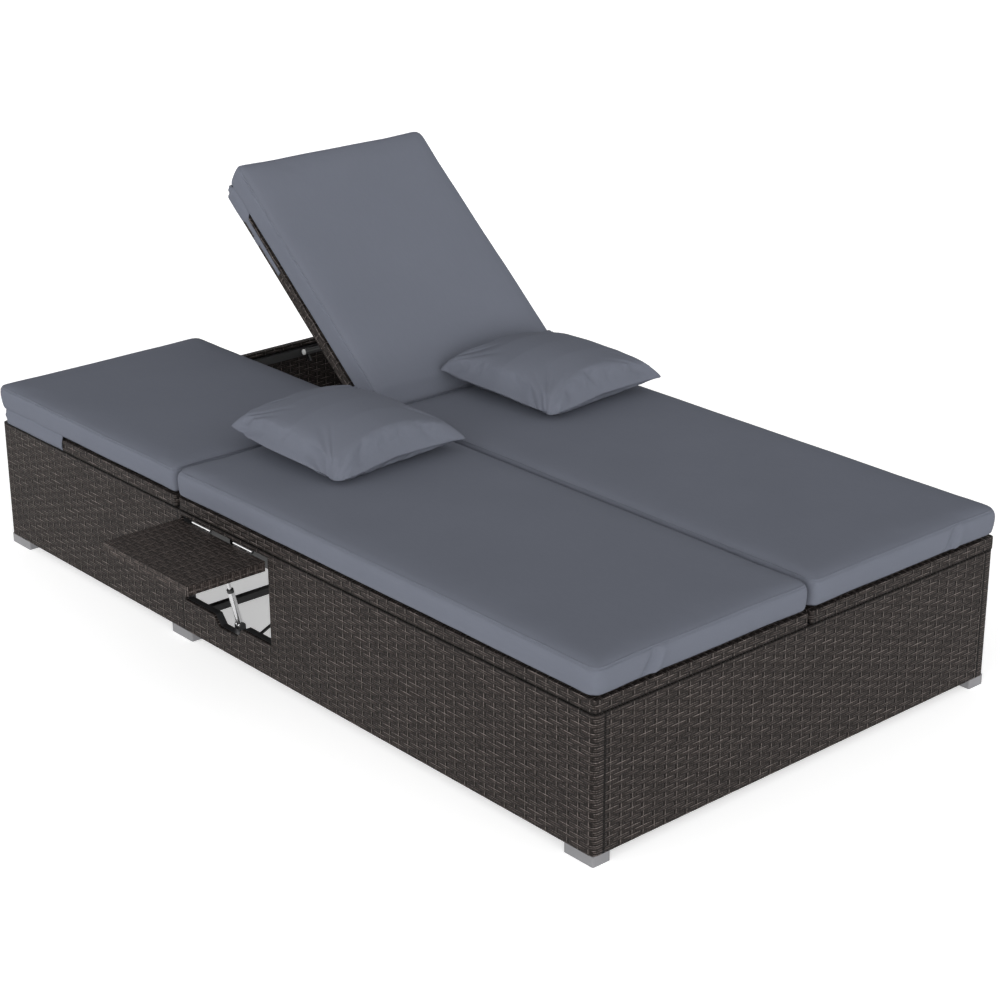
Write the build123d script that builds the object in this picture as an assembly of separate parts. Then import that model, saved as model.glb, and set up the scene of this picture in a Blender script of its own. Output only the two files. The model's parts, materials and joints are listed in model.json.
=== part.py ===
from build123d import *
import math
import os

# Double chaise lounger, millimetres. X runs across both seats, +Y towards the
# head end, +Z up. The origin is on the floor, under the middle of the base.
# The right backrest is raised and the left one lies flat; both side tables are open.

# Overall base
length = 1950.0
width = 1076.0
foot_height = 21.0
base_top = 293.0
corner_radius = 12.0
back_length = 707.0

# Woven skin and the tubes behind it
skin = 6.0
corner_wrap = 25.0
panel_gap = 0.5
tube = 20.0
tube_wall = 1.5
rail_height = 10.0
bottom_rail_height = 25.0
cross_tube = 15.0
cross_rail_inset = 10.0
lip_thickness = 16.0
lip_height = 14.0
lip_end_gap = 26.0
lip_edge = 2.0
brace_radius = 3.5
brace_reach_x = 384.0
brace_reach_y = 188.0
brace_lift = 13.0

# Feet
foot_length = 75.0
foot_width = 42.0
foot_inset = 1.0
foot_edge = 2.0
middle_foot_lead = 25.0

# Decks
deck_gap = 2.7
deck_height = 25.0
deck_sheet = 4.0
deck_corner = 8.0
deck_tube = 18.0
frame_play = 0.3
centre_gap = 6.0
deck_split = 4.0
back_deck_inset = 22.0
seat_slat_count = 3
spacer_radius = 9.0
spacer_count = 4
spacer_inset = 60.0

# Backrest hinge
hinge_z = 350.0
back_angle = 40.3
knuckle_radius = 7.0
hinge_pin_radius = 4.0
pin_play = 0.05
leaf_thickness = 3.0
leaf_drop = 45.0
leaf_width = 60.0
knuckle_play = 0.4
hinge_inset = 95.0

# Pads
pad_height = 64.0
pad_lift = 0.3
pad_bulge = 4.0
pad_crown = 3.0
pad_draw = 3.0
pad_corner = 11.0
pad_end_fall = 5.0
pad_side_gap = 1.0
pad_overhang = 13.0
pad_foot_inset = 2.0
fold_clearance = 0.9

# Hood that holds each back pad on its deck
hood_length = 241.0
hood_drop = 18.0
hood_cloth = 2.0
hood_play = 0.3
hood_slit_length = 165.0
hood_slit_height = 4.5
strap_width = 25.0
strap_from_mouth = 90.0

# Prop that holds each backrest up
prop_reach = 480.0
prop_pivot_drop = 50.0
prop_foot_inset = 35.0
prop_foot_z = 286.0
prop_foot_radius = 7.0
prop_rod_length = 213.0
prop_rod_side_gap = 38.0
prop_leg_inset = 63.0
prop_bar = 20.0
prop_bar_thickness = 5.0
prop_pin_radius = 5.0
prop_ear = 4.0
prop_ear_reach = 14.0
prop_side_play = 0.5
cap_thickness = 3.0
catch_thickness = 5.0
catch_depth = 27.0
catch_bottom = 262.0
catch_from_end = 13.0
catch_play = 0.4
catch_flare = 4.0
catch_slope = 57.0

# Side tables
table_length = 301.0
table_depth = 185.0
table_thickness = 20.0
table_head_gap = 11.0
table_drop = 4.5
table_side_gap = 1.0
table_shell = 3.0
table_edge = 3.0
sill_z = 92.5
opening_lift = 0.6
notch_depth = 21.0
notch_top_width = 100.0
notch_bottom_width = 64.0
header_depth = 22.0
header_height = 53.0
header_break = 32.0
header_bridge = 4.0
header_lap = 4.5
sill_depth = 16.0
sill_lap = 7.5
barrel_radius = 3.0
barrel_length = 64.0
barrel_inset = 47.0
barrel_offset = 2.0
barrel_pin_radius = 1.5
barrel_play = 0.4
table_leaf = 1.5
table_leaf_width = 22.0
leaf_offset = 0.5
post_inset = 2.0
stop_thickness = 3.0
stop_overlap = 8.0
stop_gap = 0.5
stop_low_share = 0.3
stop_high_share = 0.7

# Struts under the tables
strut_foot_x = 30.5
strut_foot_z = 78.0
strut_head_x = 10.0
strut_head_z = 244.5
strut_radius = 7.0
strut_tube_length = 81.0
strut_eye_radius = 7.6
strut_eye_width = 12.0
collar_radius = 7.3
collar_length = 7.0
strut_rod_radius = 4.0
strut_rod_play = 0.06
strut_rod_insert = 45.0
strut_bore_length = 70.0
rod_eye_radius = 4.8
rod_eye_width = 9.0
strut_pin_radius = 3.0
clevis_gap = 12.0
clevis_ear = 2.0
clevis_length = 34.0
clevis_lead = 8.0
clevis_drop = 16.0

# Pillows
pillow_x = 358.0
pillow_y = 362.0
pillow_thickness = 104.0
pillow_edge = 8.0
pillow_draw = 12.0
pillow_side = 3.0
left_pillow_shift = 35.5
right_pillow_shift = 71.5
pillow_from_joint = 162.0

cut_extra = 5.0

# Places that follow from the sizes above
half_x = width / 2
half_y = length / 2
joint_y = half_y - back_length
back_deck_end = half_y - back_deck_inset
deck_low = base_top + deck_gap
deck_top = deck_low + deck_height
deck_inner = centre_gap / 2
seat_deck_head = joint_y - deck_split
back_deck_foot = joint_y + deck_split
pad_low = deck_top + pad_lift
pad_top = deck_top + pad_height
fold_half = (pad_top + pad_crown - hinge_z) * math.tan(math.radians(back_angle / 2)) + fold_clearance
rail_low = base_top - rail_height
tube_face = half_x - skin
prop_foot_y = half_y - prop_foot_inset
prop_rod_end = half_x - prop_rod_side_gap
prop_rod_start = prop_rod_end - prop_rod_length
prop_leg_a = prop_rod_start + prop_leg_inset
prop_leg_b = prop_rod_end - prop_leg_inset
table_centre_y = joint_y - table_head_gap - table_length / 2
opening_foot = table_centre_y - table_length / 2
opening_head = table_centre_y + table_length / 2
axis_x = half_x + barrel_offset
axis_z = rail_low - table_leaf - leaf_offset
table_top = axis_z - table_drop
table_inner = axis_x + leaf_offset + table_leaf
table_under = table_top - table_thickness
seat_middle = (deck_inner + half_x) / 2
left_pillow_centre = left_pillow_shift - seat_middle
right_pillow_centre = seat_middle + right_pillow_shift
pillow_centre_y = joint_y - pillow_from_joint


def block(x0, x1, y0, y1, z0, z1):
    """A box between two corners, given in any order along X."""
    size = (abs(x1 - x0), abs(y1 - y0), abs(z1 - z0))
    return Pos((x0 + x1) / 2, (y0 + y1) / 2, (z0 + z1) / 2) * Box(*size)


def rod_x(x0, x1, y, z, radius):
    return Pos((x0 + x1) / 2, y, z) * Rot(0, 90, 0) * Cylinder(radius, abs(x1 - x0))


def rod_y(x, y0, y1, z, radius):
    return Pos(x, (y0 + y1) / 2, z) * Rot(90, 0, 0) * Cylinder(radius, abs(y1 - y0))


def rod_between(a, b, radius):
    """A round rod from point a to point b."""
    a = Vector(*a)
    b = Vector(*b)
    plane = Plane(origin=a, z_dir=b - a)
    return plane * Cylinder(radius, (b - a).length, align=(Align.CENTER, Align.CENTER, Align.MIN))


def square_tube(axis, x0, x1, y0, y1, z0, z1):
    """A hollow tube that is open at both ends of the named axis."""
    inner = {
        "x": (x0, x1, y0 + tube_wall, y1 - tube_wall, z0 + tube_wall, z1 - tube_wall),
        "y": (x0 + tube_wall, x1 - tube_wall, y0, y1, z0 + tube_wall, z1 - tube_wall),
        "z": (x0 + tube_wall, x1 - tube_wall, y0 + tube_wall, y1 - tube_wall, z0, z1),
    }[axis]
    return block(x0, x1, y0, y1, z0, z1) - block(*inner)


def mirrored(shape):
    return mirror(shape, about=Plane.YZ)


def both_sides(shapes):
    """The pieces of the right half and their mirror images."""
    return Compound(children=[s for shape in shapes for s in (shape, mirrored(shape))])


def group(shapes):
    return Compound(children=list(shapes))


# Base frame


def long_rails():
    """Side rails, top and bottom, and the centre rail under both decks."""
    inner = tube_face - tube
    end = half_y - skin - tube
    low = square_tube("y", inner, tube_face, -end, end, foot_height, foot_height + bottom_rail_height)
    high = square_tube("y", inner, tube_face, -end, end, rail_low, base_top)
    middle = []
    for y0, y1 in ((-end, joint_y - tube / 2), (joint_y + tube / 2, end)):
        middle.append(square_tube("y", -tube / 2, tube / 2, y0, y1, base_top - tube, base_top))
    return group([low, mirrored(low), high, mirrored(high)] + middle)


def cross_rails():
    """End rails, top and bottom, and the rails across the module joint."""
    end = half_y - skin
    reach = tube_face - tube
    rails = []
    for y0 in (-end, end - tube):
        rails.append(square_tube("x", -reach, reach, y0, y0 + tube, base_top - tube, base_top))
        rails.append(
            square_tube("x", -reach, reach, y0, y0 + tube, foot_height, foot_height + bottom_rail_height)
        )
    rails.append(
        square_tube("x", -reach, reach, joint_y - tube / 2, joint_y + tube / 2, base_top - tube, base_top)
    )
    low_y = joint_y + cross_rail_inset
    low_z = foot_height + bottom_rail_height
    rails.append(square_tube("x", -reach, reach, low_y, low_y + cross_tube, low_z - cross_tube, low_z))
    return group(rails)


def post(x0, y0, low, high):
    """An upright square tube."""
    return square_tube("z", x0, x0 + tube, y0, y0 + tube, low, high)


def posts():
    """Corner posts, posts at the module joint, posts beside the tables and the table stops."""
    low = foot_height + bottom_rail_height
    inner = tube_face - tube
    end = half_y - skin
    shapes = [
        post(inner, -end, foot_height, base_top),
        post(inner, end - tube, foot_height, base_top),
        post(inner, joint_y - tube / 2, low, rail_low),
        post(inner, opening_foot - post_inset - tube, low, rail_low),
    ]
    closed_face = axis_x - table_drop - table_thickness
    stop_out = closed_face - stop_gap
    height = rail_low - sill_z
    for share in (stop_low_share, stop_high_share):
        z0 = sill_z + share * height
        for y0, y1 in (
            (opening_foot - post_inset, opening_foot + stop_overlap),
            (opening_head - stop_overlap, joint_y - tube / 2),
        ):
            shapes.append(block(stop_out - stop_thickness, stop_out, y0, y1, z0, z0 + tube))
    sides = [s for shape in shapes for s in (shape, mirrored(shape))]
    middle = [
        post(-tube / 2, -end, low, base_top - tube),
        post(-tube / 2, end - tube, low, base_top - tube),
    ]
    return group(sides + middle)


def plate(x0, points, depth):
    """A plate cut to a Y and Z outline, running outwards from x0."""
    outline = make_face(Polyline(*points, close=True))
    return Pos(x0, 0, 0) * extrude(Plane.YZ * outline, depth, dir=(1, 0, 0))


def table_surrounds():
    """The hollow beam behind each table hinge and the solid sill behind the woven skin.

    The beam is in two lengths, with a plate across the gap that the strut swings through.
    """
    inner = tube_face - tube
    x0 = inner - header_depth
    foot = opening_foot - post_inset - tube
    head = joint_y - tube / 2
    z0 = base_top - header_height
    half = header_break / 2
    shapes = []
    for y0, y1 in ((foot, table_centre_y - half), (table_centre_y + half, head)):
        shapes.append(square_tube("y", x0, inner, y0, y1, z0, base_top))
    lap = half + header_lap
    shapes.append(block(x0 - header_bridge, x0, table_centre_y - lap, table_centre_y + lap, z0, base_top))

    x0 = tube_face - sill_depth
    foot += tube
    top = notch_top_width / 2
    bottom = notch_bottom_width / 2
    notch_z = sill_z - notch_depth
    shapes.append(block(x0, tube_face, foot, head, notch_z - sill_lap, notch_z))
    for sign, end in ((-1, foot), (1, head)):
        points = [
            (table_centre_y + sign * bottom, notch_z),
            (table_centre_y + sign * top, sill_z),
            (end, sill_z),
            (end, notch_z),
        ]
        shapes.append(plate(x0, points, sill_depth))
    return both_sides(shapes)


def braces():
    """Thin rods across the lower corners of the foot module."""
    z = foot_height + brace_lift
    x0 = tube_face - tube
    y1 = joint_y + cross_rail_inset
    rod = rod_between((x0, y1 - brace_reach_y, z), (x0 - brace_reach_x, y1, z), brace_radius)
    keep = block(x0 - brace_reach_x - tube, x0, y1 - brace_reach_y - tube, y1, foot_height, z + tube)
    return both_sides([rod & keep])


# Woven panels


def skin_ring():
    """The whole woven wall of the base, before it is cut into panels."""
    outer = RectangleRounded(width, length, corner_radius)
    inner = Rectangle(width - 2 * skin, length - 2 * skin)
    wall = extrude(outer - inner, base_top - foot_height)
    return Pos(0, 0, foot_height) * wall


def opening_cut():
    """The table opening with the finger notch in its sill, as a cutter."""
    notch_z = sill_z - notch_depth
    top = rail_low + opening_lift
    points = [
        (opening_foot, top),
        (opening_foot, sill_z),
        (table_centre_y - notch_top_width / 2, sill_z),
        (table_centre_y - notch_bottom_width / 2, notch_z),
        (table_centre_y + notch_bottom_width / 2, notch_z),
        (table_centre_y + notch_top_width / 2, sill_z),
        (opening_head, sill_z),
        (opening_head, top),
    ]
    sketch = Plane.YZ * make_face(Polyline(*points, close=True))
    start = tube_face - cut_extra
    return Pos(start, 0, 0) * extrude(sketch, skin + 2 * cut_extra)


def side_panel(foot_end):
    """A side panel of one module; it wraps round its corner onto the end wall."""
    x0 = half_x - corner_wrap
    x1 = half_x + cut_extra
    top = base_top + cut_extra
    if foot_end:
        keep = block(x0, x1, -half_y - cut_extra, joint_y - panel_gap / 2, 0, top)
        return (skin_ring() & keep) - opening_cut()
    keep = block(x0, x1, joint_y + panel_gap / 2, half_y + cut_extra, 0, top)
    return skin_ring() & keep


def end_panel(sign):
    x1 = half_x - corner_wrap - panel_gap
    y_far = sign * (half_y + cut_extra)
    y_near = sign * (half_y - corner_radius - cut_extra)
    keep = block(-x1, x1, min(y_far, y_near), max(y_far, y_near), 0, base_top + cut_extra)
    return skin_ring() & keep


def head_lip():
    """A raised woven edge on the head wall, in two lengths."""
    y1 = half_y - lip_edge
    x1 = half_x - corner_wrap - panel_gap
    bar = block(lip_end_gap / 2, x1, y1 - lip_thickness, y1, base_top, base_top + lip_height)
    bar = fillet(bar.edges().filter_by(Axis.X).group_by(Axis.Z)[-1], lip_edge)
    return both_sides([bar])


def feet():
    """Six flat metal feet, under the corners and the module joint."""
    x1 = half_x - foot_inset
    shapes = []
    for y0 in (-half_y + foot_inset, joint_y - middle_foot_lead, half_y - foot_inset - foot_length):
        foot = block(x1 - foot_width, x1, y0, y0 + foot_length, 0, foot_height)
        shapes.append(chamfer(foot.edges().filter_by(Axis.Z), foot_edge))
    return both_sides(shapes)


# Decks


def deck_shell(y0, y1):
    """A woven deck of the right lounger: a shallow tray, open underneath."""
    x0 = deck_inner
    size_x = half_x - x0
    centre = Pos((x0 + half_x) / 2, (y0 + y1) / 2, deck_low)
    outer = centre * extrude(RectangleRounded(size_x, y1 - y0, deck_corner), deck_height)
    hollow = block(
        x0 + deck_sheet,
        half_x - deck_sheet,
        y0 + deck_sheet,
        y1 - deck_sheet,
        deck_low - cut_extra,
        deck_top - deck_sheet,
    )
    edges = outer.edges().group_by(Axis.Z)[-1]
    return fillet(edges, deck_sheet / 2) - hollow


def deck_tubes(y0, y1, slat_ys):
    """The metal frame inside a deck: two long tubes, two end tubes and the slats."""
    inset = deck_sheet + frame_play
    z1 = deck_top - inset
    z0 = z1 - deck_tube
    xa = deck_inner + inset
    xb = half_x - inset
    ya = y0 + inset
    yb = y1 - inset
    shapes = [
        square_tube("y", xa, xa + deck_tube, ya, yb, z0, z1),
        square_tube("y", xb - deck_tube, xb, ya, yb, z0, z1),
    ]
    for y in [ya, yb - deck_tube] + list(slat_ys):
        shapes.append(square_tube("x", xa + deck_tube, xb - deck_tube, y, y + deck_tube, z0, z1))
    return group(shapes)


def seat_slats():
    span = seat_deck_head + half_y
    step = span / (seat_slat_count + 1)
    return [-half_y + step * (i + 1) - deck_tube / 2 for i in range(seat_slat_count)]


def prop_pivot_y():
    return joint_y + prop_reach


def back_slats():
    return [prop_pivot_y() + prop_ear_reach]


def spacers():
    """Rubber buttons that the decks rest on, on the side rails and the centre rail."""
    x1 = tube_face - tube / 2
    shapes = []
    span = seat_deck_head + half_y - 2 * spacer_inset
    for i in range(spacer_count):
        y = -half_y + spacer_inset + span * i / (spacer_count - 1)
        button = Pos(x1, y, base_top + deck_gap / 2) * Cylinder(spacer_radius, deck_gap)
        shapes += [button, mirrored(button)]
        shapes.append(Pos(0, y, base_top + deck_gap / 2) * Cylinder(spacer_radius, deck_gap))
    return group(shapes)


# Backrest hinges


def hinge_centres():
    return (deck_inner + hinge_inset, half_x - hinge_inset)


def hinge_cylinder(x0, x1, bore):
    barrel = rod_x(x0, x1, joint_y, hinge_z, knuckle_radius)
    return barrel - rod_x(x0 - cut_extra, x1 + cut_extra, joint_y, hinge_z, bore)


def hinge_plate(x0, x1, side):
    """A leaf that stands on the end face of a deck; side is -1 for seat, 1 for back."""
    y_face = joint_y + side * deck_split
    y_in = y_face - side * leaf_thickness
    low = hinge_z - leaf_drop
    plate = block(x0, x1, min(y_face, y_in), max(y_face, y_in), low, hinge_z)
    return plate


def seat_leaf(centre):
    """Two outer knuckles on one leaf."""
    half = leaf_width / 2
    knuckle = leaf_width / 4
    bore = hinge_pin_radius + pin_play
    leaf = hinge_plate(centre - half, centre + half, -1)
    reach = knuckle_radius + knuckle_play
    leaf -= block(
        centre - half + knuckle,
        centre + half - knuckle,
        joint_y - reach,
        joint_y + reach,
        hinge_z - reach,
        hinge_z + reach,
    )
    leaf += hinge_cylinder(centre - half, centre - half + knuckle, bore)
    leaf += hinge_cylinder(centre + half - knuckle, centre + half, bore)
    leaf -= rod_x(centre - leaf_width, centre + leaf_width, joint_y, hinge_z, bore)
    return leaf


def back_leaf(centre):
    """One middle knuckle on one leaf."""
    half = leaf_width / 2
    knuckle = leaf_width / 4
    bore = hinge_pin_radius + pin_play
    x0 = centre - half + knuckle + knuckle_play
    x1 = centre + half - knuckle - knuckle_play
    leaf = hinge_plate(centre - half, centre + half, 1)
    reach = knuckle_radius + knuckle_play
    for a, b in ((centre - half - cut_extra, x0), (x1, centre + half + cut_extra)):
        leaf -= block(a, b, joint_y - reach, joint_y + reach, hinge_z - reach, hinge_z + reach)
    leaf += hinge_cylinder(x0, x1, bore)
    leaf -= rod_x(centre - leaf_width, centre + leaf_width, joint_y, hinge_z, bore)
    return leaf


def hinge_pins():
    half = leaf_width / 2
    return both_sides([rod_x(c - half, c + half, joint_y, hinge_z, hinge_pin_radius) for c in hinge_centres()])


# Soft pads


def section_at(y, edges):
    """A closed section, drawn in X and Z, set upright at y."""
    plane = Plane(origin=(0, y, 0), x_dir=(1, 0, 0), z_dir=(0, -1, 0))
    return plane * make_face(edges)


def pad_profile(y, half, edge, crown, low):
    """One cross-section of a pad: flat below, bulging sides, a crowned top."""
    x = half - pad_bulge
    bottom = Line((-x, low), (x, low))
    right = ThreePointArc((x, low), (half, low + edge / 2), (x, low + edge))
    top = ThreePointArc((x, low + edge), (0, low + edge + crown), (-x, low + edge))
    left = ThreePointArc((-x, low + edge), (-half, low + edge / 2), (-x, low))
    return section_at(y, [bottom, right, top, left])


# From one end of a pad to its middle: how far in (shares of its height and of its
# length), how much of the draw, of the corner and of the end's fall, and how much crown.
PAD_ROW_SHARES = (
    (0.0, 0.0, 0.0, 1.0, 1.0, 0.1),
    (0.06, 0.0, 0.0, 0.4, 0.4, 0.3),
    (0.2, 0.0, 0.0, 0.0, 0.1, 0.5),
    (0.0, 0.1, 0.3, 0.0, 0.0, 1.0),
    (0.0, 0.5, 1.0, 0.0, 0.0, 1.0),
)


def pad(y0, y1):
    """A crowned pad of the right lounger, drawn in a little between its corners."""
    x0 = deck_inner / 2 + pad_side_gap
    half = (half_x - x0) / 2
    tall = pad_top - pad_low - pad_crown
    near = []
    far = []
    for height_share, span_share, draw_share, corner_share, fall_share, crown_share in PAD_ROW_SHARES:
        along = height_share * pad_height + span_share * (y1 - y0)
        row = (
            half - draw_share * pad_draw - corner_share * pad_corner,
            tall - fall_share * pad_end_fall,
            crown_share * pad_crown,
        )
        near.append((y0 + along, row))
        far.append((y1 - along, row))
    rows = near + far[-2::-1]
    sections = [pad_profile(y, *row, pad_low) for y, row in rows]
    return Pos(x0 + half, 0, 0) * loft(sections, ruled=True)


# From one edge of a pillow to the other: how far along, how thick and how wide.
PILLOW_ROW_SHARES = (
    (-1.0, 0.0, 1.0),
    (-0.93, 0.36, 0.6),
    (-0.75, 0.68, 0.25),
    (-0.4, 0.93, 0.05),
    (0.0, 1.0, 0.0),
    (0.4, 0.93, 0.05),
    (0.75, 0.68, 0.25),
    (0.93, 0.36, 0.6),
    (1.0, 0.0, 1.0),
)


def pillow(centre_x):
    """A square scatter pillow with pinched corners, lying on a seat pad."""
    bulge = pillow_thickness / 2
    low = pad_top + pad_lift
    mid = low + bulge
    sections = []
    for share, swell_share, wide_share in PILLOW_ROW_SHARES:
        y = pillow_centre_y + share * pillow_y / 2
        half = pillow_x / 2 - (1 - wide_share) * pillow_draw
        rise = pillow_edge / 2 + swell_share * (bulge - pillow_edge / 2)
        edge = pillow_side / 2
        top = ThreePointArc((half, mid + edge), (0, mid + rise), (-half, mid + edge))
        left = Line((-half, mid + edge), (-half, mid - edge))
        bottom = ThreePointArc((-half, mid - edge), (0, mid - rise), (half, mid - edge))
        right = Line((half, mid - edge), (half, mid + edge))
        sections.append(section_at(y, [top, left, bottom, right]))
    return Pos(centre_x, 0, 0) * loft(sections, ruled=True)


def hood():
    """The cloth hood that slips over the head end of a back deck, with two straps."""
    mouth = back_deck_end - hood_length
    out = hood_play + hood_cloth
    z0 = deck_top - hood_drop
    outer = block(deck_inner - out, half_x + out, mouth, back_deck_end + out, z0, deck_top)
    inner = block(
        deck_inner - hood_play,
        half_x + hood_play,
        mouth - cut_extra,
        back_deck_end + hood_play,
        z0 - cut_extra,
        deck_top + cut_extra,
    )
    shape = outer - inner
    slit = block(
        deck_inner - out - cut_extra,
        half_x + out + cut_extra,
        mouth - cut_extra,
        mouth + hood_slit_length,
        deck_top - hood_slit_height,
        deck_top + cut_extra,
    )
    shape -= slit
    for y in (mouth + strap_from_mouth, back_deck_end - strap_from_mouth / 2):
        strap = block(
            deck_inner - out, half_x + out, y, y + strap_width, deck_low - hood_play - hood_cloth, z0
        )
        strap -= block(
            deck_inner - hood_play, half_x + hood_play, y, y + strap_width, deck_low - hood_play, z0
        )
        shape += strap
    return shape


# Props


def swing(y, z, angle):
    """A point of a flat backrest, turned up about the backrest hinge."""
    a = math.radians(angle)
    dy = y - joint_y
    dz = z - hinge_z
    return (
        joint_y + dy * math.cos(a) - dz * math.sin(a),
        hinge_z + dy * math.sin(a) + dz * math.cos(a),
    )


def prop_length():
    y, z = swing(prop_pivot_y(), hinge_z - prop_pivot_drop, back_angle)
    return math.hypot(prop_foot_y - y, prop_foot_z - z)


def prop_turn():
    """How far the prop turns on its backrest between folded and standing, in degrees."""
    y, z = swing(prop_pivot_y(), hinge_z - prop_pivot_drop, back_angle)
    world = math.degrees(math.atan2(prop_foot_z - z, prop_foot_y - y))
    return 180 + world - back_angle


def prop_frame():
    """The folded prop: two flat legs, welded to a foot rod."""
    z = hinge_z - prop_pivot_drop
    y1 = prop_pivot_y()
    y0 = y1 - prop_length()
    bore = prop_pin_radius + pin_play
    shape = rod_x(prop_rod_start, prop_rod_end, y0, z, prop_foot_radius)
    for x in (prop_leg_a, prop_leg_b):
        half = prop_bar_thickness / 2
        leg = block(x - half, x + half, y0, y1, z - prop_bar / 2, z + prop_bar / 2)
        leg += rod_x(x - half, x + half, y1, z, prop_bar / 2)
        leg -= rod_x(x - prop_bar, x + prop_bar, y1, z, bore)
        shape += leg
    return shape


def prop_caps():
    z = hinge_z - prop_pivot_drop
    y0 = prop_pivot_y() - prop_length()
    left = rod_x(prop_rod_start - cap_thickness, prop_rod_start, y0, z, prop_foot_radius)
    right = rod_x(prop_rod_end, prop_rod_end + cap_thickness, y0, z, prop_foot_radius)
    edge = cap_thickness / 3
    left = fillet(left.edges().group_by(Axis.X)[0], edge)
    right = fillet(right.edges().group_by(Axis.X)[-1], edge)
    return group([left, right])


def prop_ear_places():
    """Where the ears that carry the prop's pin start along X."""
    gap = prop_bar_thickness / 2 + prop_side_play
    return (prop_leg_a - gap - prop_ear, prop_leg_b + gap)


def prop_brackets():
    """Two ears on the cross tube of a back deck."""
    z = hinge_z - prop_pivot_drop
    y = prop_pivot_y()
    shapes = []
    for x0 in prop_ear_places():
        ear = block(
            x0, x0 + prop_ear, y, y + prop_ear_reach, z - prop_bar / 2, z + prop_bar / 2
        )
        ear += rod_x(x0, x0 + prop_ear, y, z, prop_bar / 2)
        shapes.append(ear - rod_x(x0 - prop_ear, x0 + 2 * prop_ear, y, z, prop_pin_radius))
    return group(shapes)


def prop_pin():
    z = hinge_z - prop_pivot_drop
    first, last = prop_ear_places()
    return rod_x(first, last + prop_ear, prop_pivot_y(), z, prop_pin_radius)


def prop_catches():
    """Slotted plates on the head rail that the foot rod sits in."""
    y1 = half_y - skin - tube
    y0 = y1 - catch_depth
    r = prop_foot_radius + catch_play
    slope = math.radians(catch_slope)
    seat = Vector(0, prop_foot_y, prop_foot_z)
    down = Vector(0, -math.cos(slope), -math.sin(slope)) * catch_depth * 3
    aside = Vector(0, -math.sin(slope), math.cos(slope))
    corners = [seat - aside * r, seat + aside * (r + catch_flare)]
    corners += [corners[1] + down, corners[0] + down]
    slot = extrude(make_face(Polyline(*corners, close=True)), catch_thickness, both=True)
    shapes = []
    for x0 in (prop_rod_start + catch_from_end, prop_rod_end - catch_from_end - catch_thickness):
        plate = block(x0, x0 + catch_thickness, y0, y1, catch_bottom, base_top)
        plate -= rod_x(x0 - catch_depth, x0 + catch_depth, prop_foot_y, prop_foot_z, r)
        plate -= Pos(x0, 0, 0) * slot
        shapes.append(plate.solids().sort_by(Axis.Y)[-1])
    return both_sides(shapes)


# Side tables, modelled for the right side


def table_shell_body():
    """The woven shell of a table, hollow inside."""
    x0 = table_inner
    x1 = x0 + table_depth - table_side_gap
    y0 = opening_foot + table_side_gap
    y1 = opening_head - table_side_gap
    outer = block(x0, x1, y0, y1, table_under, table_top)
    outer = fillet(outer.edges().filter_by(Axis.Z), table_edge)
    t = table_shell
    return outer - block(x0 + t, x1 - t, y0 + t, y1 - t, table_under + t, table_top - t)


def table_frame():
    """Four tubes inside the table shell."""
    t = table_shell
    x0 = table_inner + t
    x1 = table_inner + table_depth - table_side_gap - t
    y0 = opening_foot + table_side_gap + t
    y1 = opening_head - table_side_gap - t
    z0 = table_under + t
    z1 = table_top - t
    w = z1 - z0
    shapes = [
        square_tube("y", x0, x0 + w, y0, y1, z0, z1),
        square_tube("y", x1 - w, x1, y0, y1, z0, z1),
        square_tube("x", x0 + w, x1 - w, y0, y0 + w, z0, z1),
        square_tube("x", x0 + w, x1 - w, y1 - w, y1, z0, z1),
        square_tube("x", x0 + w, x1 - w, table_centre_y - w / 2, table_centre_y + w / 2, z0, z1),
    ]
    return group(shapes)


def barrel_starts():
    return (
        opening_foot + barrel_inset,
        opening_head - barrel_inset - barrel_length,
    )


def barrel(y0, y1):
    bore = barrel_pin_radius + pin_play
    tube_part = rod_y(axis_x, y0, y1, axis_z, barrel_radius)
    return tube_part - rod_y(axis_x, y0 - cut_extra, y1 + cut_extra, axis_z, bore)


def fixed_leaves():
    """The hinge leaves under the top rails, each with two knuckles."""
    part = barrel_length / 3
    bore = barrel_pin_radius + pin_play
    shapes = []
    for y0 in barrel_starts():
        y1 = y0 + barrel_length
        z0 = axis_z + leaf_offset
        leaf = block(axis_x - table_leaf_width, axis_x, y0, y1, z0, z0 + table_leaf)
        reach = barrel_radius + barrel_play
        leaf -= block(
            axis_x - reach, axis_x + reach, y0 + part, y1 - part, axis_z - reach, axis_z + reach
        )
        leaf += barrel(y0, y0 + part)
        leaf += barrel(y1 - part, y1)
        leaf -= rod_y(axis_x, y0 - cut_extra, y1 + cut_extra, axis_z, bore)
        shapes.append(leaf)
    return both_sides(shapes)


def moving_leaves():
    """The hinge leaves on the table's inner edge, each with one knuckle."""
    part = barrel_length / 3 + barrel_play
    bore = barrel_pin_radius + pin_play
    shapes = []
    for y0 in barrel_starts():
        y1 = y0 + barrel_length
        x0 = axis_x + leaf_offset
        leaf = block(x0, x0 + table_leaf, y0, y1, axis_z - table_leaf_width, axis_z)
        reach = barrel_radius + barrel_play
        for a, b in ((y0 - cut_extra, y0 + part), (y1 - part, y1 + cut_extra)):
            leaf -= block(axis_x - reach, axis_x + reach, a, b, axis_z - reach, axis_z + reach)
        leaf += barrel(y0 + part, y1 - part)
        leaf -= rod_y(axis_x, y0 - cut_extra, y1 + cut_extra, axis_z, bore)
        shapes.append(leaf)
    return group(shapes)


def table_pins():
    return both_sides(
        [rod_y(axis_x, y0, y0 + barrel_length, axis_z, barrel_pin_radius) for y0 in barrel_starts()]
    )


def strut_points():
    """Lower and upper pivot of the right strut, as X and Z."""
    return (half_x - strut_foot_x, strut_foot_z), (half_x + strut_head_x, strut_head_z)


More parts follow.
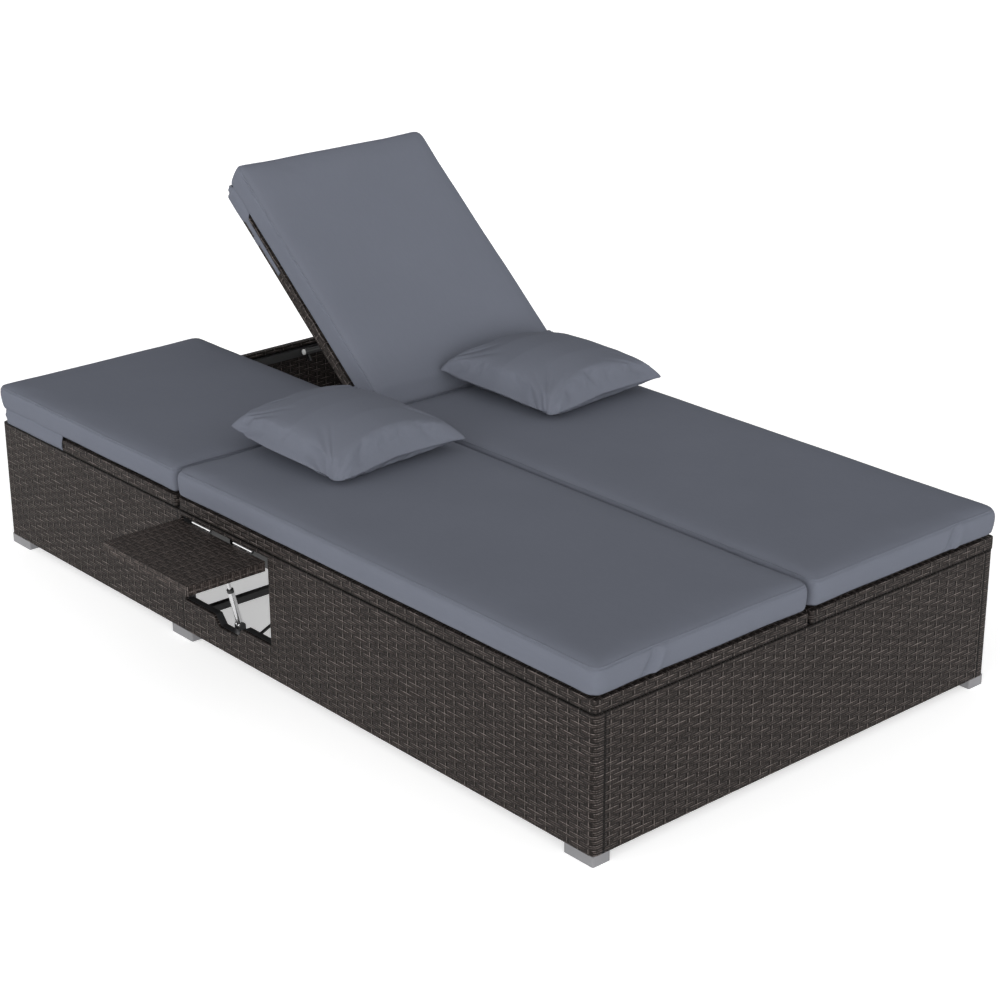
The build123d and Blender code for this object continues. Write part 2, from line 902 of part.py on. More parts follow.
def clevis():
    """Two ears under the table, around the strut's upper eye."""
    (x, z) = strut_points()[1]
    x0 = max(x - clevis_lead, table_inner)
    shapes = []
    for side in (-1, 1):
        a = table_centre_y + side * clevis_gap / 2
        b = a + side * clevis_ear
        shapes.append(
            block(x0, x0 + clevis_length, min(a, b), max(a, b), table_under - clevis_drop, table_under)
        )
    return group(shapes)


def strut_length():
    (xa, za), (xb, zb) = strut_points()
    return math.hypot(xb - xa, zb - za)


def strut_place(along):
    """A point on the strut's axis, measured from its lower pivot."""
    (xa, za), (xb, zb) = strut_points()
    share = along / strut_length()
    return (xa + (xb - xa) * share, table_centre_y, za + (zb - za) * share)


def strut_tube():
    """The lower strut tube with its eye."""
    shape = rod_between(strut_place(0), strut_place(strut_tube_length), strut_radius)
    x, y, z = strut_place(0)
    shape += rod_y(x, y - strut_eye_width / 2, y + strut_eye_width / 2, z, strut_eye_radius)
    bore_start = strut_place(strut_tube_length - strut_bore_length)
    bore_end = strut_place(strut_tube_length + cut_extra)
    shape -= rod_between(bore_start, bore_end, strut_rod_radius + strut_rod_play)
    shape -= rod_y(x, y - strut_radius * 2, y + strut_radius * 2, z, strut_pin_radius + pin_play)
    return shape


def strut_collar():
    """The black collar that closes the tube round the rod."""
    start = strut_tube_length
    shape = rod_between(strut_place(start), strut_place(start + collar_length), collar_radius)
    bore = rod_between(
        strut_place(start - cut_extra),
        strut_place(start + collar_length + cut_extra),
        strut_rod_radius + strut_rod_play,
    )
    return shape - bore


def strut_rod():
    """The upper rod with the eye that rides in the clevis."""
    start = strut_tube_length - strut_rod_insert
    shape = rod_between(strut_place(start), strut_place(strut_length()), strut_rod_radius)
    x, y, z = strut_place(strut_length())
    half = rod_eye_width / 2
    shape += rod_y(x, y - half, y + half, z, rod_eye_radius)
    return shape


def strut_brackets():
    """Ears on the bottom side rails with the lower strut pins."""
    (x, z) = strut_points()[0]
    low = foot_height + bottom_rail_height
    inner = strut_radius + prop_side_play
    half = strut_eye_radius
    bracket = None
    for side in (-1, 1):
        a = table_centre_y + side * inner
        b = a + side * clevis_ear
        ear = block(x - half, x + half, min(a, b), max(a, b), low, z)
        ear += rod_y(x, min(a, b), max(a, b), z, half)
        bracket = ear if bracket is None else bracket + ear
    reach = inner + clevis_ear
    base = block(x - tube / 2, x + half, table_centre_y - reach, table_centre_y + reach, low, low + clevis_ear)
    bracket += base
    bracket += rod_y(x, table_centre_y - reach, table_centre_y + reach, z, strut_pin_radius)
    return both_sides([bracket])


# Placing and writing


def raised(shape):
    """Turns a flat right backrest piece up about the backrest hinge."""
    return shape.rotate(Axis((0, joint_y, hinge_z), (1, 0, 0)), back_angle)


def standing(shape):
    """Turns the folded right prop out, then up with its backrest."""
    pivot = Axis((0, prop_pivot_y(), hinge_z - prop_pivot_drop), (1, 0, 0))
    return raised(shape.rotate(pivot, prop_turn()))


def write(name, shape):
    export_step(shape, f"parts/{name}.step")


def write_pair(name, shape, move=None):
    """Writes the left piece as the mirror image of the right one; move acts on the right."""
    write(f"left_{name}", mirrored(shape))
    write(f"right_{name}", move(shape) if move else shape)


def main():
    os.makedirs("parts", exist_ok=True)
    write("long_rails", long_rails())
    write("cross_rails", cross_rails())
    write("posts", posts())
    write("table_surrounds", table_surrounds())
    write("corner_braces", braces())
    write_pair("foot_panel", side_panel(True))
    write_pair("head_panel", side_panel(False))
    write("foot_end_panel", end_panel(-1))
    write("head_end_panel", end_panel(1))
    write("head_lip", head_lip())
    write("feet", feet())

    write_pair("seat_deck", deck_shell(-half_y, seat_deck_head))
    write_pair("seat_frame", deck_tubes(-half_y, seat_deck_head, seat_slats()))
    write("deck_spacers", spacers())
    write_pair("seat_pad", pad(-half_y + pad_foot_inset, joint_y - fold_half))
    seat_leaves = [seat_leaf(c) for c in hinge_centres()]
    write("seat_hinge_leaves", both_sides(seat_leaves))
    write("back_hinge_pins", hinge_pins())

    write_pair("back_deck", deck_shell(back_deck_foot, back_deck_end), raised)
    write_pair("back_frame", deck_tubes(back_deck_foot, back_deck_end, back_slats()), raised)
    write_pair("back_hinge_leaves", group([back_leaf(c) for c in hinge_centres()]), raised)
    write_pair("back_pad", pad(joint_y + fold_half, back_deck_end + pad_overhang), raised)
    write_pair("back_hood", hood(), raised)
    write_pair("prop_brackets", prop_brackets(), raised)
    write_pair("prop_pin", prop_pin(), raised)
    write_pair("prop_frame", prop_frame(), standing)
    write_pair("prop_caps", prop_caps(), standing)
    write("prop_catches", prop_catches())

    write_pair("table_shell", table_shell_body())
    write_pair("table_frame", table_frame())
    write_pair("table_leaves", moving_leaves())
    write_pair("strut_clevis", clevis())
    write("table_fixed_leaves", fixed_leaves())
    write("table_hinge_pins", table_pins())
    write_pair("strut_tube", strut_tube())
    write_pair("strut_collar", strut_collar())
    write_pair("strut_rod", strut_rod())
    write("strut_brackets", strut_brackets())

    write("left_pillow", pillow(left_pillow_centre))
    write("right_pillow", pillow(right_pillow_centre))
    print("prop length", prop_length(), "prop turn", prop_turn(), "fold half gap", fold_half)
    print("strut length", strut_length(), "table axis", axis_x, axis_z, "table top", table_top)


main()
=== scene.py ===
"""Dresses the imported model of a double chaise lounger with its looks.

Every size is in metres in the model's own frame: X runs across both seats,
+Y towards the head end and +Z up from the floor.
"""

import json
import math
from contextlib import contextmanager

import bmesh
import bpy
import numpy as np
from bpy.props import FloatProperty, FloatVectorProperty, PointerProperty
from mathutils import Matrix, Vector, noise
from mathutils.bvhtree import BVHTree


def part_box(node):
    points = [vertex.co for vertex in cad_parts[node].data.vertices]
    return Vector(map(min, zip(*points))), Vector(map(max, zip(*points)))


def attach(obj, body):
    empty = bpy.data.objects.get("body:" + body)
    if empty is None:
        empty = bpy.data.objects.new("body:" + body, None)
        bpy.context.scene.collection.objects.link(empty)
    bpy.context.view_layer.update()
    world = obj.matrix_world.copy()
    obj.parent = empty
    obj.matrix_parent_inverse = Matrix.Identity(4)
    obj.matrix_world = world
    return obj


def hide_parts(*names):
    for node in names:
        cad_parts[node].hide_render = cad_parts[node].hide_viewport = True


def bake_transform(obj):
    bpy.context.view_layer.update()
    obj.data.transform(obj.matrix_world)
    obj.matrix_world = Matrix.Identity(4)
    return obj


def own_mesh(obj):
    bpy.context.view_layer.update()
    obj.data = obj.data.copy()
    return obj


bl_info = {
    "name": "Double chaise lounger",
    "version": (1, 0, 0),
    "blender": (4, 5, 0),
    "location": "View3D > Sidebar > Lounger",
    "description": "Weave, cloth, metal and stage for a double chaise lounger",
    "category": "Object",
}

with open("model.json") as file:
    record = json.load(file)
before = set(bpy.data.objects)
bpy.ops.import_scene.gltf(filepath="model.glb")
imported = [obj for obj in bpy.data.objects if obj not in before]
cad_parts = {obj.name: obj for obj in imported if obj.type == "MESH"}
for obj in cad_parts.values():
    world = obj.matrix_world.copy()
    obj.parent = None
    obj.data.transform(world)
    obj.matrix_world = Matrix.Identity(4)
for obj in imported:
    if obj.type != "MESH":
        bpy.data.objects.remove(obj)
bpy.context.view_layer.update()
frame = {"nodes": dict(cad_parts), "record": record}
SLOTS = {
    part["node"]: part["material_slot"]
    for part in frame["record"].get("subparts", [])
    if "material_slot" in part
}

# Backrest hinge line, where the pads fold, and how far past it a back pad bends
FOLD = Vector((0.0, 0.268, 0.350))
FOLD_REACH = 0.05

# Each side with its sign on X, and how far its back is raised
RAISED = math.radians(40.3)
SIDES = (("left", -1.0), ("right", 1.0))
TILT = {"left": 0.0, "right": RAISED}


# Shader expressions


def sign(operation):
    """A method that adds one Math node."""
    return lambda value, *others: value.math(operation, value, *others)


class Value:
    """A number or vector in a material, on which Python's signs add nodes."""

    def __init__(self, finish, socket):
        self.finish = finish
        self.socket = socket

    def math(self, operation, *inputs):
        settings = {"operation": operation}
        return self.finish.node("ShaderNodeMath", settings, dict(enumerate(inputs)))

    def __rsub__(self, other):
        return self.math("SUBTRACT", other, self)

    __add__ = __radd__ = sign("ADD")
    __sub__ = sign("SUBTRACT")
    __mul__ = __rmul__ = sign("MULTIPLY")
    __truediv__ = sign("DIVIDE")
    __pow__ = sign("POWER")
    __gt__ = sign("GREATER_THAN")
    __lt__ = sign("LESS_THAN")
    size = sign("ABSOLUTE")
    floor = sign("FLOOR")
    part = sign("FRACT")
    sine = sign("SINE")
    over = sign("MAXIMUM")
    under = sign("MINIMUM")

    def ramp(self, low, high):
        """0 below low, 1 above high and smooth between."""
        settings = {"interpolation_type": "SMOOTHSTEP"}
        inputs = {"Value": self, "From Min": low, "From Max": high}
        return self.finish.node("ShaderNodeMapRange", settings, inputs, "Result")

    def band(self, rise, fall):
        """Rises to 1 over one stretch and falls back to 0 over another."""
        return self.ramp(*rise) * (1.0 - self.ramp(*fall))

    def peak(self, place, sharpness, power=1.0):
        """1 at a place, and falling to 0 on both sides of it."""
        away = ((self - place) * sharpness).size()
        return (1.0 - (away if power == 1.0 else away ** power)).over(0.0)

    def seam(self, place, edge):
        """1 on a line at a place, and fading out over its edge."""
        return 1.0 - (self - place).size().ramp(*edge)


class Finish:
    """A material, or the sky's shader, built from nodes."""

    def __init__(self, name, holder=None):
        self.material = holder or bpy.data.materials.new(name)
        self.material.use_nodes = True
        self.tree = self.material.node_tree
        self.tree.nodes.clear()

    def node(self, kind, settings=None, inputs=None, output=0):
        """Adds a node: its settings first, then its sockets, and gives one output."""
        made = self.tree.nodes.new(kind)
        for key, setting in (settings or {}).items():
            setattr(made, key, setting)
        for key, given in (inputs or {}).items():
            socket = made.inputs[key]
            if isinstance(given, Value):
                self.tree.links.new(given.socket, socket)
            elif given is not None:
                socket.default_value = given
        return Value(self, made.outputs[output]) if made.outputs else None

    def point(self, tilt=0.0):
        """The point on the piece as the model stores it, with a raised back laid flat."""
        return self.laid_flat(self.node("ShaderNodeTexCoord", output="Object"), tilt, FOLD)

    def facing(self, tilt=0.0):
        """The way the piece faces at that point, laid flat with it."""
        return self.laid_flat(self.node("ShaderNodeTexCoord", output="Normal"), tilt)

    def laid_flat(self, vector, tilt, centre=None):
        if not tilt:
            return vector
        settings = {"rotation_type": "X_AXIS"}
        inputs = {"Vector": vector, "Center": centre, "Angle": -tilt}
        return self.node("ShaderNodeVectorRotate", settings, inputs)

    def split(self, vector):
        parts = self.node("ShaderNodeSeparateXYZ", inputs={"Vector": vector})
        node = parts.socket.node
        return [Value(self, node.outputs[axis]) for axis in "XYZ"]

    def speckle(self, point, scale, detail, roughness=0.55):
        inputs = {"Vector": point, "Scale": scale, "Detail": detail, "Roughness": roughness}
        return self.node("ShaderNodeTexNoise", {"noise_dimensions": "3D"}, inputs, "Fac")

    def stretch(self, point, scales):
        settings = {"operation": "MULTIPLY"}
        return self.node("ShaderNodeVectorMath", settings, {0: point, 1: scales})

    def blend(self, share, low, high):
        """Goes from colour low to colour high with share."""
        settings = {"data_type": "RGBA", "blend_type": "MIX"}
        inputs = {0: share, 6: self.paint(low), 7: self.paint(high)}
        return self.node("ShaderNodeMix", settings, inputs, 2)

    def paint(self, colour):
        if isinstance(colour, Value) or len(colour) == 4:
            return colour
        return (*colour, 1.0)

    def bump(self, height, distance, strength, normal=None):
        inputs = {"Height": height, "Distance": distance, "Strength": strength}
        return self.node("ShaderNodeBump", inputs={**inputs, "Normal": normal})

    def surface(self, **sockets):
        """Ends the material with one Principled surface."""
        named = {key.replace("_", " "): given for key, given in sockets.items()}
        named["Base Color"] = self.paint(named["Base Color"])
        shader = self.node("ShaderNodeBsdfPrincipled", inputs=named)
        self.node("ShaderNodeOutputMaterial", inputs={"Surface": shader})
        return self.material


# Weave of flat strands

# The painted highlight lines on a strand rise and fall at shares of its width
UPPER_LINE = ((0.76, 0.83), (0.86, 0.93))
LOWER_LINE = ((0.30, 0.37), (0.40, 0.47))
STRAND_ROUNDNESS = 2.4

# A cell spans two stakes: a strand passes under the first and over the second. These are
# shares of a cell: where the strand lies on top and arches, where the first stake stands
# out, and where the strand's edge and its crest catch the light.
ON_TOP = ((0.20, 0.26), (0.95, 1.0))
ARCH_START, ARCH_LENGTH = 0.22, 0.78
STAKE_PLACE, STAKE_SHARPNESS, STAKE_ROUNDNESS, STAKE_HEIGHT = 0.12, 7.2, 3.0, 0.6
EDGE_PLACE, CREST_PLACE, LINE_SHARPNESS = 0.1, 0.6, 46.0

# Where the first stake and strand lie, and how far the strands sway
FIRST_STAKE, FIRST_STRAND, SWAY = 0.0137, 0.0027, 0.0010

# A face counts as square to an axis when its normal has more than this along it
SQUARE_ON = 0.7072

# How the painted shade in the joints fades out beside their middle
GAP_EDGE = (0.0022, 0.0044)
JOINT_EDGE = (0.0018, 0.0036)


def weave(finish, along, across, style, wrap=None):
    """Height, gleam and tint of strands that pass over and under stakes.

    along runs with the strands and across counts them; where wrap is 1 the
    strands only lie side by side.
    """
    row = across / style.strand
    strip = row.part()
    place = along / (style.stake * 2.0) + row.floor() * 0.5
    cell = place.part()
    spot = finish.node("ShaderNodeCombineXYZ", inputs={"X": place.floor(), "Y": row.floor()})
    settings = {"noise_dimensions": "2D"}
    tint = finish.node("ShaderNodeTexWhiteNoise", settings, {"Vector": spot}, "Value")
    rise = 1.0 - ((strip - 0.5).size() * 2.0) ** STRAND_ROUNDNESS
    over = cell.band(*ON_TOP)
    arch = cell * (math.pi / ARCH_LENGTH) - math.pi * ARCH_START / ARCH_LENGTH
    arch = arch.sine().over(0.0)
    stake = cell.peak(STAKE_PLACE, STAKE_SHARPNESS, STAKE_ROUNDNESS)
    edge = cell.peak(EDGE_PLACE, LINE_SHARPNESS)
    crest = cell.peak(CREST_PLACE, LINE_SHARPNESS)
    if wrap is not None:
        over, arch = over.over(wrap), arch.over(wrap)
        stake, edge, crest = (value * (1.0 - wrap) for value in (stake, edge, crest))
    height = (rise * over * (0.55 + 0.45 * arch)).over(stake * STAKE_HEIGHT)
    lines = strip.band(*UPPER_LINE) + strip.band(*LOWER_LINE) * (1.0 - tint) * 0.9
    gleam = lines * over * (0.3 + 0.7 * arch) * (0.35 + 0.9 * tint)
    return height, (gleam + edge * 0.75 + crest * 0.4 * tint).under(1.0), tint


def wicker(name, style, table=False, wrapped=False, tilt=0.0):
    """Dark synthetic wicker on a smooth skin, seen square on from every side."""
    finish = Finish(name)
    point = finish.point(tilt)
    x, y, z = finish.split(point)
    facing_x, facing_y, _ = finish.split(finish.facing(tilt))
    on_x = facing_x.size() > SQUARE_ON
    on_y = facing_y.size() > SQUARE_ON
    on_z = 1.0 - on_x.over(on_y)
    if table:
        along = y * (1.0 - on_y) + z * on_y
        across = z * on_x + x * (1.0 - on_x)
        wrap = None
    else:
        along = y * (1.0 - on_y) + x * on_y
        across = z * (1.0 - on_z) + x * on_z
        wrap = on_y if wrapped else None
    sway = finish.speckle(point, 34.0, 2.0) * SWAY
    along = along + FIRST_STAKE + sway
    across = across + FIRST_STRAND + sway
    height, gleam, tint = weave(finish, along, across, style, wrap)
    fibre = finish.speckle(point, 330.0, 4.0, 0.7).ramp(0.36, 0.64)
    patch = finish.speckle(point, 9.0, 2.0)
    # Painted shade: where the strands lie low, in the hollows and beside the stakes, they are
    # darkened toward the gap colour; fibre, patch and tint are the strands' own tone
    shade = (height * 0.82 + 0.18) * (0.26 + 1.0 * fibre) * (0.72 + 0.24 * patch + 0.4 * tint)
    lift = style.table_lift if table else 1.0
    face = tuple(channel * lift for channel in style.colour)
    gleam = gleam * (0.25 + 0.95 * fibre)
    if not table:
        # Painted shade: thin dark lines where walls meet decks, at the foot end's upright
        # corners and between the two halves, where shade falls in the joints
        gap = z.seam(style.seam_height, GAP_EDGE)
        corner = x.size().seam(style.corner_seam, JOINT_EDGE) * (facing_y < -SQUARE_ON)
        middle = y.seam(style.module_seam, JOINT_EDGE) * on_x
        upright = corner.over(middle) * (z < style.seam_height)
        joint_shade = (gap * (1.0 - on_z)).over(upright)
        shade = shade * (1.0 - joint_shade)
        gleam = gleam * (1.0 - joint_shade)
    body = finish.blend(shade.under(1.0), style.deep, face)
    strands = finish.bump(height, style.relief, 0.9)
    # Paler worn edges and painted highlights: the lines along the strands' edges and crests are
    # blended toward their pale colour and made glossier
    return finish.surface(
        Base_Color=finish.blend(gleam.under(1.0), body, style.wear_and_highlight),
        Roughness=0.66 - 0.16 * gleam,
        Normal=finish.bump(fibre, 0.0005, 0.35, strands),
        Specular_IOR_Level=0.12,
    )


# Woven outdoor cloth

# Stitches: their pitch, the share of it that shows, how far over the seam they run and
# half their thickness
STITCH_PITCH, STITCH_SHARE, STITCH_RISE, STITCH_HALF = 0.0042, 0.62, 0.0035, 0.0005
GROOVE_EDGE = (0.0003, 0.0018)


def cloth(name, style, seam=None, tilt=0.0):
    """Blue-grey woven cloth; seam is the height at which it is sewn."""
    finish = Finish(name)
    point = finish.point(tilt)
    x, y, z = finish.split(point)
    level = finish.split(finish.facing(tilt))[2].size().ramp(0.55, 0.75)
    side = 1.0 - level
    turn = 2.0 * math.pi / style.thread
    warp = ((x + z * side) * turn).sine()
    weft = ((y + z * side) * turn).sine()
    threads = warp.over(weft) * 0.5 + 0.5
    slub = finish.speckle(finish.stretch(point, (260.0, 40.0, 260.0)), 1.0, 3.0, 0.6)
    cloudy = finish.speckle(point, 5.0, 3.0)
    fine = finish.speckle(point, 900.0, 2.0)
    shade = 0.2 * threads + 0.3 * slub + 0.35 * cloudy + 0.15 * fine
    colour = finish.blend(shade.under(1.0), style.deep, style.colour)
    normal = finish.bump(threads * 0.6 + 0.4 * slub, 0.0003, 0.4)
    if seam is not None:
        groove = z.seam(seam, GROOVE_EDGE) * side
        dash = ((x + y) / STITCH_PITCH).part() < STITCH_SHARE
        stitch = ((z - seam - STITCH_RISE).size() < STITCH_HALF) * dash * side
        # Painted shade: the seam's groove is darkened toward the shade colour; the stitches
        # above it are sewing thread
        colour = finish.blend(groove * 0.45, colour, style.deep)
        colour = finish.blend(stitch * 0.35, colour, style.thread_colour)
        normal = finish.bump(1.0 - groove, 0.0012, 0.7, normal)
    return finish.surface(
        Base_Color=colour, Roughness=0.95, Normal=normal, Specular_IOR_Level=0.06
    )


def coated(name, colour, roughness, grain):
    """Powder coat or moulded plastic with a fine grain and a mottled paler tone."""
    finish = Finish(name)
    point = finish.point()
    fine = finish.speckle(point, grain, 2.0)
    broad = finish.speckle(point, 12.0, 4.0)
    pale = tuple(min(1.0, channel * 1.8 + 0.012) for channel in colour)
    return finish.surface(
        Base_Color=finish.blend(fine * 0.5 + broad * 0.3, colour, pale),
        Roughness=roughness + 0.16 * (broad - 0.5),
        Normal=finish.bump(fine, 0.0003, 0.5),
    )


def metal(name, colour, roughness, brushed):
    """Bare metal with long brush marks and faint stains."""
    finish = Finish(name)
    point = finish.point()
    marks = finish.speckle(finish.stretch(point, brushed), 1.0, 4.0, 0.7)
    stain = finish.speckle(point, 22.0, 4.0)
    dull = tuple(channel * 0.72 for channel in colour)
    return finish.surface(
        Base_Color=finish.blend(marks * 0.6 + stain * 0.4, dull, colour),
        Metallic=1.0,
        Roughness=roughness + 0.2 * (marks - 0.5) + 0.1 * (stain - 0.5),
        Normal=finish.bump(marks, 0.0002, 0.4),
    )


# Mesh helpers

# How the cover behaves while it is swelled, and for how many frames
COVER = {
    "quality": 5,
    "mass": 0.3,
    "tension_stiffness": 15.0,
    "compression_stiffness": 15.0,
    "shear_stiffness": 5.0,
    "bending_stiffness": 0.5,
    "use_pressure": True,
}
SWELL_FRAMES = 20

# Roundness of a pad's foot, and the welt round its top
FOOT_EDGE, WELT_RADIUS, WELT_SPACING = 0.002, 0.0014, 0.008

# Points of a CAD shape that lie nearer than this are one
SAME_POINT = 0.00002


def wear(node, material):
    """Puts one material on every slot of a CAD node."""
    piece = frame["nodes"][node]
    if not piece.material_slots:
        piece.data.materials.append(material)
    for slot in piece.material_slots:
        slot.material = material


def wear_slots(finishes):
    """Puts each finish on the CAD nodes whose slot it is for."""
    for node in frame["nodes"]:
        finish = finishes.get(SLOTS.get(node))
        if finish:
            wear(node, finish)


def placed(name, data):
    """A new object in the scene."""
    made = bpy.data.objects.new(name, data)
    bpy.context.scene.collection.objects.link(made)
    return made


def new_piece(name, mesh, material):
    piece = placed(name, mesh)
    piece.data.materials.clear()
    piece.data.materials.append(material)
    return piece


@contextmanager
def edited(mesh):
    """Opens a mesh to bmesh operators and writes it back."""
    build = bmesh.new()
    build.from_mesh(mesh)
    yield build
    build.to_mesh(mesh)
    build.free()


def settle(piece):
    """Makes what the modifiers give the piece's own mesh."""
    bpy.context.view_layer.update()
    graph = bpy.context.evaluated_depsgraph_get()
    mesh = bpy.data.meshes.new_from_object(piece.evaluated_get(graph))
    piece.modifiers.clear()
    old = piece.data
    piece.data = mesh
    bpy.data.meshes.remove(old)


def smooth(piece):
    piece.data.polygons.foreach_set("use_smooth", [True] * len(piece.data.polygons))
    piece.data.update()


def points(piece, what="co"):
    """The place of every vertex of a piece, or its normal."""
    flat = np.empty(len(piece.data.vertices) * 3)
    piece.data.vertices.foreach_get(what, flat)
    return flat.reshape(-1, 3)


def move_points(piece, where):
    piece.data.vertices.foreach_set("co", where.ravel())
    piece.data.update()


def plump(piece, voxel, pressure, cap):
    """Remeshes a closed shape and swells it like a filled cover, by at most cap."""
    remesh = piece.modifiers.new("voxels", "REMESH")
    remesh.mode = "VOXEL"
    remesh.voxel_size = voxel
    settle(piece)
    start = points(piece)
    fabric = piece.modifiers.new("cloth", "CLOTH")
    for key, setting in COVER.items():
        setattr(fabric.settings, key, setting)
    fabric.settings.uniform_pressure_force = pressure
    fabric.settings.effector_weights.gravity = 0.0
    fabric.point_cache.frame_start = 1
    fabric.point_cache.frame_end = SWELL_FRAMES
    scene = bpy.context.scene
    for number in range(1, SWELL_FRAMES + 1):
        scene.frame_set(number)
    settle(piece)
    scene.frame_set(1)
    moved = points(piece) - start
    far = np.linalg.norm(moved, axis=1, keepdims=True)
    moved *= np.minimum(1.0, cap / np.maximum(far, 1e-9))
    move_points(piece, start + moved)


def subdivide(piece):
    surface = piece.modifiers.new("smooth", "SUBSURF")
    surface.levels = 1
    surface.render_levels = 1
    settle(piece)


def soft_box(name, low, high, corner, edge, material):
    """A closed box with round corners and edges, from which a cushion is swelled."""
    size = high - low
    how = {"affect": "EDGES", "profile": 0.5, "material": -1}
    mesh = bpy.data.meshes.new(name)
    with edited(mesh) as build:
        bmesh.ops.create_cube(build, matrix=Matrix.LocRotScale((low + high) / 2.0, None, size))
        upright = [
            e for e in build.edges if abs(e.verts[0].co.z - e.verts[1].co.z) > size.z / 2.0
        ]
        bmesh.ops.bevel(build, geom=upright, offset=corner, segments=8, **how)
        for height, width in ((high.z, edge), (low.z, FOOT_EDGE)):
            rims = [
                e for e in build.edges
                if all(abs(v.co.z - height) < 1e-6 for v in e.verts)
                and any(abs(f.normal.z) < 0.5 for f in e.link_faces)
            ]
            bmesh.ops.bevel(build, geom=rims, offset=width, segments=6, **how)
    return new_piece(name, mesh, material)


def closed_copy(node, name, material):
    """A closed copy of a CAD shape."""
    mesh = frame["nodes"][node].data.copy()
    with edited(mesh) as build:
        bmesh.ops.remove_doubles(build, verts=build.verts, dist=SAME_POINT)
    return new_piece(name, mesh, material)


def strip(name, along, across, place, thickness, material):
    """A cloth strip: a grid laid by place(u, v), then given its thickness to both sides."""
    mesh = bpy.data.meshes.new(name)
    with edited(mesh) as build:
        bmesh.ops.create_grid(build, x_segments=along, y_segments=across, size=0.5)
        for vert in build.verts:
            vert.co = place(vert.co.x + 0.5, vert.co.y + 0.5)
    piece = new_piece(name, mesh, material)
    wall = piece.modifiers.new("wall", "SOLIDIFY")
    wall.thickness = thickness
    wall.offset = 0.0
    settle(piece)
    with edited(piece.data) as build:
        bmesh.ops.recalc_face_normals(build, faces=build.faces)
    return piece


def fit_box(piece, low, high):
    """Brings a piece to the size and place of a box."""
    where = points(piece)
    least, most = where.min(0), where.max(0)
    share = (where - least) / (most - least)
    move_points(piece, np.array(low) + share * (np.array(high) - np.array(low)))


def join(piece, mesh):
    """Adds a mesh to a piece."""
    with edited(piece.data) as build:
        build.from_mesh(mesh)
    bpy.data.meshes.remove(mesh)


def mirror(piece):
    """Turns a left piece into a right one."""
    piece.data.transform(Matrix.Scale(-1.0, 4, (1.0, 0.0, 0.0)))
    piece.data.flip_normals()


def welt(piece, height):
    """Sews a round welt into a piece's sides, all the way round at one height."""
    build = bmesh.new()
    build.from_mesh(piece.data)
    tree = BVHTree.FromBMesh(build)
    build.free()
    where = points(piece)
    low, high = where.min(0), where.max(0)
    centre = (low + high) / 2.0
    half = (high - low) / 2.0
    inset = min(half[0], half[1]) * 0.9
    path = []
    count = int(4.0 * (half[0] + half[1]) / WELT_SPACING)
    for number in range(count):
        turn = 2.0 * math.pi * number / count
        aim = Vector((math.cos(turn), math.sin(turn), 0.0))
        core = Vector((centre[0], centre[1], height))
        core.x += max(half[0] - inset, 0.0) * aim.x
        core.y += max(half[1] - inset, 0.0) * aim.y
        spot, normal, *_ = tree.ray_cast(core + aim * 9.0, -aim)
        path.append(spot - normal * WELT_RADIUS * 0.25)
    curve = bpy.data.curves.new("welt", "CURVE")
    curve.dimensions = "3D"
    curve.bevel_depth = WELT_RADIUS
    curve.bevel_resolution = 1
    curve.twist_mode = "Z_UP"
    spline = curve.splines.new("POLY")
    spline.points.add(len(path) - 1)
    spline.points.foreach_set("co", [c for spot in path for c in (*spot, 1.0)])
    spline.use_cyclic_u = True
    holder = bpy.data.objects.new("welt", curve)
    mesh = bpy.data.meshes.new_from_object(holder)
    bpy.data.objects.remove(holder)
    bpy.data.curves.remove(curve)
    join(piece, mesh)


def ripple(where, scale, seed):
    """Smooth noise at each point, about -1 to 1."""
    shift = Vector((seed * 7.3, seed * 3.1, seed * 5.7))
    return np.array([noise.noise(Vector(p) * scale + shift) for p in where])


def step(value, low, high):
    """0 below low, 1 above high and smooth between, for arrays."""
    t = np.clip((value - low) / (high - low), 0.0, 1.0)
    return t * t * (3.0 - 2.0 * t)


def soft_step(value, low, high):
    """The same for one number."""
    return float(step(np.float64(value), low, high))


# Settings


def length(name, description, default):
    return FloatProperty(name=name, description=description, default=default, unit="LENGTH")


def amount(name, description, default):
    return FloatProperty(name=name, description=description, default=default)


def hue(name, description, default):
    return FloatVectorProperty(
        name=name, description=description, default=default, subtype="COLOR", size=3
    )


class WeaveSettings(bpy.types.PropertyGroup):
    strand: length("Strand width", "Width of one flat strand", 0.009)
    stake: length("Stake spacing", "Distance between the upright stakes", 0.02725)
    relief: length("Relief", "How far a strand stands out", 0.0022)
    colour: hue("Colour", "Face of a strand", (0.0284, 0.0223, 0.0200))
    deep: hue("Gaps", "Hollows between strands", (0.0035, 0.0029, 0.0026))
    # Pale colour of the strands' worn edges and of their painted highlight lines
    wear_and_highlight: hue("Edges", "Strand edges that catch the light", (0.235, 0.203, 0.190))
    table_lift: amount("Table lift", "How much paler the tables' strands are", 1.9)
    seam_height: length("Seam height", "Height of the joint between walls and decks", 0.29435)
    module_seam: length("Module seam", "Place of the joint between the two halves", 0.268)
    corner_seam: length("Corner seam", "Foot end's upright joints from the middle", 0.513)


